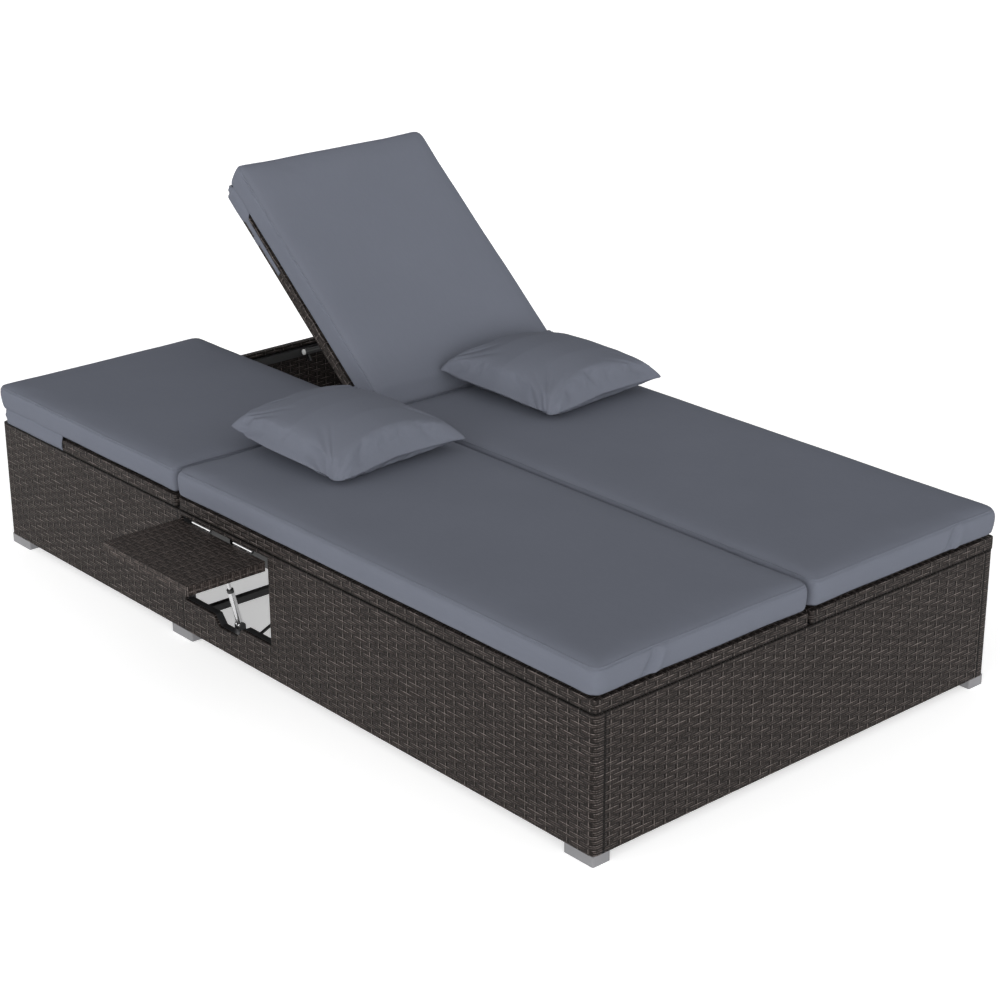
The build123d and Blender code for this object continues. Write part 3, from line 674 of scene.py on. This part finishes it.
class ClothSettings(bpy.types.PropertyGroup):
    thread: length("Thread pitch", "Distance between threads", 0.0024)
    colour: hue("Colour", "Lit threads", (0.141, 0.151, 0.183))
    deep: hue("Shade", "Hollows between threads", (0.108, 0.116, 0.142))
    thread_colour: hue("Stitches", "Sewing thread", (0.22, 0.23, 0.27))
    swell: length("Swell", "How far a pad's cover swells", 0.004)
    crown: length("Crown", "How far a pad's middle rises", 0.003)
    corner: length("Corner", "Roundness of a seat pad's upright corners", 0.020)
    head_corner: length("Head corner", "Roundness of a back pad's upright corners", 0.013)
    loft: length("Loft", "How far a pad rises over its firm core", 0.003)
    hem: length("Hem", "How far a seat pad's foot is drawn out to its deck's edge", 0.0035)
    side_puff: length("Side puff", "How far a pad's sides swell over its foot", 0.005)
    head_reach: length("Head reach", "How far a back pad passes its core at the head", 0.003)
    head_puff: length("Head puff", "How far a back pad's head end swells", 0.006)
    edge: length("Edge", "Roundness of a seat pad's top edge", 0.018)
    head_edge: length("Head edge", "Roundness of a back pad's top edge", 0.010)
    seam_drop: length("Seam drop", "How far below a pad's top edge it is sewn", 0.009)
    slot: length("Slot", "Height of the slot above a raised hood's flap", 0.005)
    slot_length: length("Slot length", "Length of that slot", 0.165)
    flat_lobe: length("Flat lobe", "How far a flat back's hood swells at the head", 0.005)
    raised_lobe: length("Raised lobe", "The same for a raised back's hood", 0.012)
    pillow_start: amount("Pillow start", "Share of a pillow's thickness before it swells", 0.78)
    pillow_seam: amount("Pillow seam", "Share of a pillow's height under its seam", 0.32)
    pillow_shift: length("Pillow shift", "How far a pillow has slid headwards and right", 0.014)


class MetalSettings(bpy.types.PropertyGroup):
    satin: hue("Satin", "Feet", (0.30, 0.30, 0.31))
    bright: hue("Bright", "Struts and hinge barrels", (0.78, 0.78, 0.79))
    coat: hue("Powder coat", "Frame tubes and hinges", (0.012, 0.012, 0.013))


class StageSettings(bpy.types.PropertyGroup):
    zenith: amount("Sky above", "Light from straight above", 0.33)
    horizon: amount("Sky around", "Light from low all round", 5.0)
    key: amount("Key", "Soft lamp from the front", 0.30)
    glow: amount("Floor glow", "How far the floor is lifted to white", 0.46)


# Woven walls, frame and metal


class LOUNGER_OT_weave(bpy.types.Operator):
    """Covers walls, decks and tables with woven strands"""

    bl_idname = "lounger.weave"
    bl_label = "Weave"

    def execute(self, context):
        style = context.scene.lounger_weave
        wall = wicker("woven_wall", style, wrapped=True)
        end = wicker("woven_end", style)
        raised = wicker("woven_raised_back", style, tilt=RAISED)
        table = wicker("woven_table", style, table=True)
        for side, _ in SIDES:
            for node in ("foot_panel", "head_panel"):
                wear(f"{side}_{node}", wall)
            wear(f"{side}_seat_deck", end)
            wear(f"{side}_table_shell", table)
        for node in ("foot_end_panel", "head_end_panel", "head_lip", "left_back_deck"):
            wear(node, end)
        wear("right_back_deck", raised)
        return {"FINISHED"}


class LOUNGER_OT_frame(bpy.types.Operator):
    """Gives the tubes, hinges, catches and props their black coat"""

    bl_idname = "lounger.frame"
    bl_label = "Frame"

    def execute(self, context):
        style = context.scene.lounger_metal
        coat = coated("black_coat", tuple(style.coat), 0.42, 700.0)
        black = coated("black_plastic", (0.01, 0.01, 0.01), 0.5, 400.0)
        wear_slots({"frame": coat, "hinge_steel": coat})
        wear_slots({"rubber": black, "black_plastic": black})
        return {"FINISHED"}


class LOUNGER_OT_metal(bpy.types.Operator):
    """Gives the feet, struts, barrels and prop ends their bare finish"""

    bl_idname = "lounger.metal"
    bl_label = "Metal"

    def execute(self, context):
        style = context.scene.lounger_metal
        satin = metal("satin_metal", tuple(style.satin), 0.36, (60.0, 60.0, 900.0))
        bright = metal("bright_metal", tuple(style.bright), 0.2, (900.0, 900.0, 30.0))
        pale = coated("pale_plastic", (0.72, 0.72, 0.71), 0.3, 300.0)
        wear_slots({"foot_metal": satin, "bright_metal": bright, "pale_plastic": pale})
        return {"FINISHED"}


# Pads

# A pad is remeshed at this size and swelled by this pressure, a little past its swell
PAD_VOXEL, PAD_PRESSURE, PAD_SPARE = 0.009, 3.0, 0.0015

# Half the gap between two pads at the fold, and the share of the swell left free there
FOLD_GAP, FOLD_INSET = 0.0006, 0.6

# Unevenness of a pad's top and walls, with the scale of its broad and its gathered waves
TOP_UNEVEN, WALL_UNEVEN = 0.0010, 0.0007
BROAD_WAVES, GATHERED_WAVES = 7.0, 34.0

# How far from its edge a pad's side swells, and up to which share of its height its foot
# is drawn out
PUFF_REACH, HEM_SHARE = 0.035, 0.25

# How far a cover may pass its box, above, on its free sides and towards the other pad
SPARE_ABOVE, SPARE_OUT, SPARE_IN = 0.002, 0.003, 0.001

# How far below the welt the drawn seam runs
SEAM_LAP = 0.002

# Rounds in which a raised back pad's bend is found
BEND_ROUNDS = 12


def bend_end():
    """The point up to which a raised back pad bends."""
    half = RAISED / 2.0
    return 0.0, FOLD.y + FOLD_REACH * math.cos(half), FOLD.z + FOLD_REACH * math.sin(half)


def bend_back(piece):
    """Raises a flat back pad about the fold, with its foot end held upright."""
    flat = points(piece)
    start = np.array(FOLD)
    reach = np.array(bend_end()) - start
    dy = flat[:, 1] - start[1]
    dz = flat[:, 2] - start[2]
    share = np.clip(dy / FOLD_REACH, 0.0, 1.0)
    for _ in range(BEND_ROUNDS):
        angle = share * share * (3.0 - 2.0 * share) * RAISED
        y = start[1] + dy * np.cos(angle) - dz * np.sin(angle)
        z = start[2] + dy * np.sin(angle) + dz * np.cos(angle)
        bent = np.stack([flat[:, 0], y, z], 1)
        share = np.clip((bent - start) @ reach / (reach @ reach), 0.0, 1.0)
    move_points(piece, bent)


def finish_pad(piece, low, high, seed, creases):
    """Gives a pad the soft unevenness, pinches and creases of a sewn cover.

    Each crease stands in an end or side wall: which, its place, lean, width and depth.
    """
    where = points(piece)
    out = points(piece, "normal")
    wall = step(1.0 - np.abs(out[:, 2]), 0.3, 0.8)
    rise = (where[:, 2] - low.z) / (high.z - low.z)
    soft = ripple(where * (1.0, 1.0, 0.4), BROAD_WAVES, seed)
    gather = ripple(where * (1.0, 1.0, 0.25), GATHERED_WAVES, seed + 3)
    depth = TOP_UNEVEN * soft * (1.0 - wall) + WALL_UNEVEN * (gather + soft) * wall
    for end, place, lean, width, push in creases:
        axis = 0 if abs(end[1]) > 0.5 else 1
        facing = step(out[:, 0] * end[0] + out[:, 1] * end[1], 0.6, 0.9)
        off = (where[:, axis] - place - lean * (rise - 0.5)) / width
        fold = np.exp(-off * off) - 0.5 * np.exp(-((off - 1.7) ** 2))
        depth -= facing * push * fold * (1.0 - 0.45 * rise)
    where += out * depth[:, None]
    move_points(piece, where)


def puff(piece, low, high, sides, hem):
    """Lets a pad's sides swell over its foot, and draws the foot's hem out again.

    sides gives an axis, an end and how far.
    """
    where = points(piece)
    rise = np.clip((where[:, 2] - low.z) / (high.z - low.z), 0.0, 1.0)
    round_out = np.sin(math.pi * 0.75 * rise)
    drawn = hem * np.clip(1.0 - rise / HEM_SHARE, 0.0, 1.0) ** 1.5
    for axis, end, far in sides:
        edge = high[axis] if end > 0 else low[axis]
        near = step(PUFF_REACH - end * (edge - where[:, axis]), 0.0, PUFF_REACH)
        where[:, axis] += end * near * (far * round_out + drawn)
    move_points(piece, where)


def make_pad(name, low, high, seat, material, style, seed, creases, sides):
    """One long flat pad, swelled between its corners.

    A seat pad meets its neighbour with its head end and a back pad with its foot end;
    sides gives the outer side and the free end, as puff takes them.
    """
    low, high = low.copy(), high.copy()
    inset = style.swell
    start = Vector((low.x + inset, low.y + inset, low.z))
    end = Vector((high.x - inset, high.y - inset, high.z - style.crown))
    if seat:
        end.y = FOLD.y - inset * FOLD_INSET
        high.y = FOLD.y - FOLD_GAP
        corner, edge, hem = style.corner, style.edge, style.hem
    else:
        start.y = FOLD.y + inset * FOLD_INSET
        low.y = FOLD.y + FOLD_GAP
        corner, edge, hem = style.head_corner, style.head_edge, 0.0
    pad = soft_box(name, start, end, corner, edge, material)
    plump(pad, PAD_VOXEL, PAD_PRESSURE, style.swell + PAD_SPARE)
    subdivide(pad)
    fit_box(pad, low, high)
    puff(pad, low, high, sides, hem)
    finish_pad(pad, low, high, seed, creases)
    welt(pad, high.z - style.seam_drop)
    least, most = low.copy(), high.copy()
    most.z += SPARE_ABOVE
    for axis, way, far in sides:
        if way > 0:
            most[axis] += far + SPARE_OUT
        else:
            least[axis] -= far + SPARE_OUT
    if sides[0][1] > 0:
        least.x -= SPARE_IN
    else:
        most.x += SPARE_IN
    move_points(pad, np.clip(points(pad), least, most))
    return pad


class LOUNGER_OT_seat_pads(bpy.types.Operator):
    """Makes the two long seat pads"""

    bl_idname = "lounger.seat_pads"
    bl_label = "Seat pads"

    def execute(self, context):
        style = context.scene.lounger_cloth
        for seed, (side, sign) in enumerate(SIDES, 1):
            node = f"{side}_seat_pad"
            low, high = (Vector(corner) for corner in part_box(node))
            deck_low, deck_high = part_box(f"{side}_seat_deck")
            low.y = deck_low[1]
            if sign > 0:
                high.x = deck_high[0]
            else:
                low.x = deck_low[0]
            high.z += style.loft
            seam = high.z - style.seam_drop - SEAM_LAP
            fabric = cloth(f"{side}_seat_cloth", style, seam)
            foot = (0.0, -1.0)
            outer = (sign, 0.0)
            creases = (
                (foot, sign * 0.405, 0.03, 0.011, 0.0095),
                (foot, sign * 0.17, -0.02, 0.02, 0.0012),
                (outer, -0.62, 0.02, 0.02, 0.0012),
                (outer, -0.12, -0.03, 0.016, 0.0010),
            )
            name = f"{side}_seat_cushion"
            sides = ((0, sign, style.side_puff), (1, -1, style.side_puff))
            pad = make_pad(name, low, high, True, fabric, style, seed, creases, sides)
            smooth(pad)
            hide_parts(node)
            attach(pad, "root")
        return {"FINISHED"}


class LOUNGER_OT_back_pads(bpy.types.Operator):
    """Makes the two back pads, and bends the raised one where it meets its seat pad"""

    bl_idname = "lounger.back_pads"
    bl_label = "Back pads"

    def execute(self, context):
        style = context.scene.lounger_cloth
        low, high = (Vector(corner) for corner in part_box("left_back_pad"))
        low.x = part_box("left_back_deck")[0][0]
        high.y += style.head_reach
        high.z += style.loft
        seam = high.z - style.seam_drop - SEAM_LAP
        outer = (-1.0, 0.0)
        creases = ((outer, 0.36, 0.02, 0.016, 0.0012), (outer, 0.83, -0.02, 0.02, 0.0012))
        sides = ((0, -1, style.side_puff), (1, 1, style.head_puff))
        for seed, (side, sign) in enumerate(SIDES, 5):
            fabric = cloth(f"{side}_back_cloth", style, seam, TILT[side])
            name = f"{side}_back_cushion"
            pad = make_pad(name, low, high, False, fabric, style, seed, creases, sides)
            if sign > 0:
                mirror(pad)
                bend_back(pad)
            smooth(pad)
            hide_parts(f"{side}_back_pad")
            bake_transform(pad)
        return {"FINISHED"}


# Hoods

# Round corner of a back deck, the hood's cloth and its grid round and up the deck
DECK_CORNER, HOOD_CLOTH = 0.009, 0.0012
HOOD_GRID = (190, 9)

# How far below the deck's top a hood's lower edge hangs along the slot of a raised back,
# along a flat back, and behind the slot
RAISED_HEM, FLAT_HEM, FULL_HEM = 0.0155, 0.0225, 0.0235
FLAT_SLOT = 0.0002

# How far a hood climbs its pad at the sides and at the head, and is tucked in there
CLIMB, HEAD_CLIMB = 0.016, 0.003
TUCK, TUCK_START, TUCK_HEIGHT = 0.0060, 0.003, 0.019

# How far the cloth lies off the deck, swells and waves
OFF_DECK, HOOD_SWELL, HOOD_WAVE, HEM_WAVE = 0.0014, 0.0009, 0.0004, 0.0012

# Straps: where they lie from the hood's mouth and its head, their width, cloth and grid,
# how far their ends go up the deck's sides, and how far they lie off it
STRAP_FROM_MOUTH, STRAP_FROM_HEAD, STRAP_WIDTH = 0.1025, 0.0345, 0.025
STRAP_CLOTH = 0.0009
STRAP_GRID = (90, 2)
STRAP_END, STRAP_OFF_SIDE, STRAP_BEND, STRAP_OFF_FOOT = 0.0095, 0.0013, 0.0005, 0.0009


def rim_spot(low, high, mouth, share):
    """A place on a back deck's rim, its outward way and how far it is from the mouth.

    share goes from 0 at one end of the mouth to 1 at the other.
    """
    radius = DECK_CORNER
    near = share if share < 0.5 else 1.0 - share
    straight = high.y - radius - mouth
    arc = math.pi * radius / 2.0
    total = 2.0 * (straight + arc) + high.x - low.x - 2.0 * radius
    run = near * total
    if run < straight:
        spot, way = Vector((low.x, mouth + run, 0.0)), Vector((-1.0, 0.0, 0.0))
    elif run < straight + arc:
        turn = (run - straight) / radius
        way = Vector((-math.cos(turn), math.sin(turn), 0.0))
        spot = Vector((low.x + radius, high.y - radius, 0.0)) + way * radius
    else:
        spot = Vector((low.x + radius + run - straight - arc, high.y, 0.0))
        way = Vector((0.0, 1.0, 0.0))
    if share >= 0.5:
        spot.x = low.x + high.x - spot.x
        way.x = -way.x
    return spot, way, run


class LOUNGER_OT_hoods(bpy.types.Operator):
    """Makes the cloth pockets that hold the back pads on their decks"""

    bl_idname = "lounger.hoods"
    bl_label = "Hoods"

    def execute(self, context):
        style = context.scene.lounger_cloth
        deck = [Vector(corner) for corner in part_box("left_back_deck")]
        node_low, node_high = (Vector(corner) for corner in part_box("left_back_hood"))
        lip_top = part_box("head_lip")[1][2]
        for seed, (side, sign) in enumerate(SIDES, 12):
            fabric = cloth(f"{side}_hood_cloth", style, tilt=TILT[side])
            sleeve = self.sleeve(style, deck, node_low.y, lip_top, sign > 0, seed)
            hood = strip(f"{side}_hood", *HOOD_GRID, sleeve, HOOD_CLOTH, fabric)
            for y in (node_low.y + STRAP_FROM_MOUTH, node_high.y - STRAP_FROM_HEAD):
                band = strip("strap", *STRAP_GRID, self.strap(deck, y), STRAP_CLOTH, fabric)
                mesh = band.data
                bpy.data.objects.remove(band)
                join(hood, mesh)
            if sign > 0:
                mirror(hood)
                centre = Matrix.Translation(FOLD)
                turn = Matrix.Rotation(RAISED, 4, "X")
                hood.data.transform(centre @ turn @ centre.inverted())
            smooth(hood)
            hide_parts(f"{side}_back_hood")
            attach(hood, f"{side}_back")
        return {"FINISHED"}

    def sleeve(self, style, deck, mouth, lip_top, raised, seed):
        """Gives the function that lays the cloth round a back deck's head end."""
        low, high = deck
        top = high.z
        gap = style.slot if raised else FLAT_SLOT
        hem = RAISED_HEM if raised else FLAT_HEM
        lobe = style.raised_lobe if raised else style.flat_lobe

        def place(u, v):
            spot, way, run = rim_spot(low, high, mouth, u)
            back = 1.0
            if raised:
                back = soft_step(run, style.slot_length - 0.012, style.slot_length + 0.004)
            wedge = gap * (1.0 - 0.6 * min(1.0, run / style.slot_length))
            rise = CLIMB * (1.0 - way.y) + HEAD_CLIMB * way.y
            upper = (1.0 - back) * (top - wedge) + back * (top + rise)
            drop = hem + (FULL_HEM - hem) * back
            lower = top - drop + HEM_WAVE * noise.noise(Vector((run * 22.0, seed, 0.0)))
            z = lower + (upper - lower) * v
            swell = math.sin(math.pi * min(1.0, (z - lower) / drop))
            wave = noise.noise(Vector((run * 16.0, z * 60.0, seed + 5.0)))
            tuck = min(1.0, max(0.0, (z - top + TUCK_START) / TUCK_HEIGHT)) * (1.0 - way.y)
            free = 1.0 - max(0.0, way.x)
            end = soft_step(way.y, 0.3, 1.0)
            bulge = lobe * end * soft_step(z, lip_top - 0.002, lip_top + 0.010)
            out = OFF_DECK + (HOOD_SWELL * free + bulge) * swell + HOOD_WAVE * wave * free
            out += 0.6 * lobe * end * soft_step(z, top - 0.012, top) - TUCK * tuck
            return Vector((spot.x, spot.y, z)) + way * out

        return place

    def strap(self, deck, y):
        """Gives the function that lays a strap under a deck and up its sides."""
        low, high = deck
        reach = (high.x - low.x) / 2.0
        middle = (high.x + low.x) / 2.0
        side = reach + STRAP_OFF_SIDE

        def place(u, v):
            run = (2.0 * u - 1.0) * (reach + STRAP_END)
            flat = max(-side, min(side, run))
            rise = max(0.0, abs(run) - reach + STRAP_BEND)
            z = low.z - STRAP_OFF_FOOT + rise
            return Vector((middle + flat, y + STRAP_WIDTH * (v - 0.5), z))

        return place


# Pillows

# A pillow is widened a little, remeshed at this size and swelled by this pressure, up to
# this share of its thickness
PILLOW_SPREAD = 1.02
PILLOW_VOXEL, PILLOW_PRESSURE, PILLOW_SWELL = 0.005, 5.0, 0.16

# How deep and how round a pillow's underside is, how high it lies off the seat, and how
# far the back pad lifts it, from before the fold to after it
UNDERSIDE_DEPTH, UNDERSIDE_ROUNDNESS, OFF_SEAT = 1.2, 1.6, 0.0004
FOLD_LIFT, LIFT_BEFORE, LIFT_AFTER = 0.007, 0.03, 0.015

# Creases at each corner: how many, how deep, and their limit where several meet
CREASES, CREASE_DEPTH, CREASE_LIMIT = 9, 0.0032, 1.5

# Pillow corners that are pulled out of square: which corner, how tightly round it, and
# how far it moves
TIPS = {
    "left": (
        (-1, 1, 2, (0.020, 0.008, 0.005)),
        (-1, -1, 1, (0.024, -0.006, -0.018)),
        (-1, -1, 6, (0.013, 0.021, 0.0)),
        (1, -1, 2, (0.008, 0.0, -0.004)),
    ),
    "right": (
        (-1, 1, 2, (0.006, 0.008, 0.002)),
        (-1, -1, 1, (0.020, -0.008, -0.016)),
        (-1, -1, 6, (0.013, 0.021, 0.0)),
        (1, 1, 2, (-0.012, 0.006, 0.0)),
    ),
}


class LOUNGER_OT_pillows(bpy.types.Operator):
    """Makes the two scatter pillows"""

    bl_idname = "lounger.pillows"
    bl_label = "Pillows"

    def execute(self, context):
        style = context.scene.lounger_cloth
        for seed, (side, sign) in enumerate(SIDES, 9):
            node = f"{side}_pillow"
            low, high = (Vector(corner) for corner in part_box(node))
            middle = (low + high) / 2.0
            fabric = cloth(f"{side}_pillow_cloth", style)
            pillow = closed_copy(node, f"{side}_scatter_pillow", fabric)
            spread = (PILLOW_SPREAD, PILLOW_SPREAD, style.pillow_start)
            move_points(pillow, (points(pillow) - middle) * spread + middle)
            plump(pillow, PILLOW_VOXEL, PILLOW_PRESSURE, (high.z - low.z) * PILLOW_SWELL)
            subdivide(pillow)
            self.rest(pillow, low, high, style, TIPS[side])
            self.gather(pillow, seed)
            smooth(pillow)
            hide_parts(node)
            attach(pillow, node)
            if sign < 0:
                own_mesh(pillow)
        return {"FINISHED"}

    def rest(self, pillow, low, high, style, tips):
        """Lays a swelled pillow down: its seam low, its underside flat, its corners moved."""
        where = points(pillow)
        least, most = where.min(0), where.max(0)
        centre = (least + most) / 2.0
        share = (where - centre) / ((most - least) / 2.0)
        seam = low.z + style.pillow_seam * (high.z - low.z)
        above = np.maximum(share[:, 2], 0.0)
        below = np.maximum(-share[:, 2], 0.0) ** UNDERSIDE_ROUNDNESS
        z = seam + above * (high.z + style.loft - seam)
        z -= UNDERSIDE_DEPTH * (seam - low.z) * below
        middle = (low + high) / 2.0
        half = (high - low) / 2.0
        x = middle.x + style.pillow_shift + share[:, 0] * half.x
        y = middle.y + style.pillow_shift * (1.0 - step(share[:, 1], 0.2, 1.0))
        y += share[:, 1] * half.y
        z += FOLD_LIFT * step(y, FOLD.y - LIFT_BEFORE, FOLD.y + LIFT_AFTER)
        laid = np.stack([x, y, z], 1)
        for side_x, side_y, power, move in tips:
            toward = np.clip(share[:, :2] * (side_x, side_y), 0.0, 1.0)
            laid += ((toward[:, 0] * toward[:, 1]) ** power)[:, None] * np.array(move)
        laid[:, 2] = np.maximum(laid[:, 2], low.z + OFF_SEAT)
        move_points(pillow, laid)

    def gather(self, pillow, seed):
        """Presses short creases into the cover, fanning out of each corner."""
        where = points(pillow)
        out = points(pillow, "normal")
        least, most = where.min(0), where.max(0)
        random = np.random.default_rng(seed)
        push = np.zeros(len(where))
        for side_x, side_y in ((-1, -1), (-1, 1), (1, -1), (1, 1)):
            corner = np.where((side_x > 0, side_y > 0), most[:2], least[:2])
            off = (where[:, :2] - corner) * (-side_x, -side_y)
            far = np.hypot(off[:, 0], off[:, 1])
            turn = np.arctan2(off[:, 1], off[:, 0])
            for aim in random.uniform(0.12, 1.45, CREASES):
                reach = random.uniform(0.06, 0.15)
                width = random.uniform(0.035, 0.07)
                along = step(far, 0.015, 0.05) * (1.0 - step(far, reach * 0.6, reach * 1.3))
                across = np.exp(-(((turn - aim) / width) ** 2))
                push += random.uniform(0.5, 1.0) * along * across
        pressed = CREASE_DEPTH * np.minimum(push, CREASE_LIMIT) * (out[:, 2] > 0.0)
        move_points(pillow, where - out * pressed[:, None])


# Stage

CAMERA_PLACE = (-2.9233, -3.4628, 2.0650)
CAMERA_FORWARD = (0.61117, 0.69857, -0.37212)
CAMERA_RIGHT = (0.75160, -0.65961, -0.00386)
CAMERA_LENS = 82.925
LAMP_WAY = (0.80, 0.55, -0.25)
LAMP_SOFTNESS = math.radians(50.0)
FLOOR_COLOUR = (0.94, 0.94, 0.94, 1.0)
FLOOR_HALF = 60.0
WHITE = (1.0, 1.0, 1.0, 1.0)


class LOUNGER_OT_stage(bpy.types.Operator):
    """Sets the camera, the soft lamp, the sky and the pale floor"""

    bl_idname = "lounger.stage"
    bl_label = "Stage"

    def execute(self, context):
        style = context.scene.lounger_stage
        scene = context.scene
        scene.view_settings.view_transform = "Standard"
        self.camera(scene)
        self.floor(style)
        self.sky(scene, style)
        self.lamp(style)
        return {"FINISHED"}

    def camera(self, scene):
        forward = Vector(CAMERA_FORWARD).normalized()
        right = Vector(CAMERA_RIGHT)
        right = (right - forward * right.dot(forward)).normalized()
        up = right.cross(forward)
        seen = bpy.data.cameras.new("photo_camera")
        seen.sensor_width = 36.0
        seen.lens = CAMERA_LENS
        seen.clip_end = 200.0
        scene.camera = placed("photo_camera", seen)
        turned = Matrix((right, up, -forward)).transposed()
        scene.camera.matrix_world = Matrix.Translation(CAMERA_PLACE) @ turned.to_4x4()

    def floor(self, style):
        """A pale floor that the camera and reflections see lifted to white."""
        mesh = bpy.data.meshes.new("floor")
        with edited(mesh) as build:
            bmesh.ops.create_grid(build, x_segments=1, y_segments=1, size=FLOOR_HALF)
        finish = Finish("pale_floor")
        base = finish.node("ShaderNodeBsdfDiffuse", inputs={"Color": FLOOR_COLOUR})
        path = finish.node("ShaderNodeLightPath", output="Is Camera Ray")
        glossy = Value(finish, path.socket.node.outputs["Is Glossy Ray"])
        through = Value(finish, path.socket.node.outputs["Is Transmission Ray"])
        seen = path.over(glossy).over(through) * style.glow
        glow = finish.node("ShaderNodeEmission", inputs={"Strength": seen})
        both = finish.node("ShaderNodeAddShader", inputs={0: base, 1: glow})
        finish.node("ShaderNodeOutputMaterial", inputs={"Surface": both})
        mesh.materials.append(finish.material)
        ground = placed("floor", mesh)

    def sky(self, scene, style):
        """A sky that is brightest round the horizon, and white where the camera sees it."""
        world = bpy.data.worlds.new("studio")
        scene.world = world
        finish = Finish("studio", world)
        way = finish.node("ShaderNodeTexCoord", output="Generated")
        x, y, z = finish.split(way)
        low = 1.0 - z.over(0.0)
        front = 0.55 - 0.34 * x - 0.30 * y
        strength = low * low * front * style.horizon + style.zenith
        seen = finish.node("ShaderNodeLightPath", output="Is Camera Ray")
        strength = strength * (1.0 - seen) + seen
        inputs = {"Color": WHITE, "Strength": strength}
        light = finish.node("ShaderNodeBackground", inputs=inputs)
        finish.node("ShaderNodeOutputWorld", inputs={"Surface": light})

    def lamp(self, style):
        light = bpy.data.lights.new("front_lamp", "SUN")
        light.energy = style.key
        light.angle = LAMP_SOFTNESS
        lamp = placed("front_lamp", light)
        lamp.rotation_mode = "QUATERNION"
        lamp.rotation_quaternion = Vector(LAMP_WAY).to_track_quat("-Z", "Y")


OPERATORS = (
    LOUNGER_OT_stage,
    LOUNGER_OT_weave,
    LOUNGER_OT_frame,
    LOUNGER_OT_metal,
    LOUNGER_OT_seat_pads,
    LOUNGER_OT_back_pads,
    LOUNGER_OT_hoods,
    LOUNGER_OT_pillows,
)


class LOUNGER_PT_tools(bpy.types.Panel):
    """Lists what the lounger is made of"""

    bl_idname = "LOUNGER_PT_tools"
    bl_label = "Lounger"
    bl_space_type = "VIEW_3D"
    bl_region_type = "UI"
    bl_category = "Lounger"

    def draw(self, context):
        for operator in OPERATORS:
            self.layout.operator(operator.bl_idname)


GROUPS = {
    "lounger_weave": WeaveSettings,
    "lounger_cloth": ClothSettings,
    "lounger_metal": MetalSettings,
    "lounger_stage": StageSettings,
}


def register():
    for name, group in GROUPS.items():
        bpy.utils.register_class(group)
        setattr(bpy.types.Scene, name, PointerProperty(type=group))
    for operator in OPERATORS:
        bpy.utils.register_class(operator)
    bpy.utils.register_class(LOUNGER_PT_tools)


def unregister():
    bpy.utils.unregister_class(LOUNGER_PT_tools)
    for operator in reversed(OPERATORS):
        bpy.utils.unregister_class(operator)
    for name, group in reversed(GROUPS.items()):
        delattr(bpy.types.Scene, name)
        bpy.utils.unregister_class(group)


def main():
    register()
    for operator in OPERATORS:
        family, action = operator.bl_idname.split(".")
        getattr(getattr(bpy.ops, family), action)()


if __name__ == "__main__":
    main()
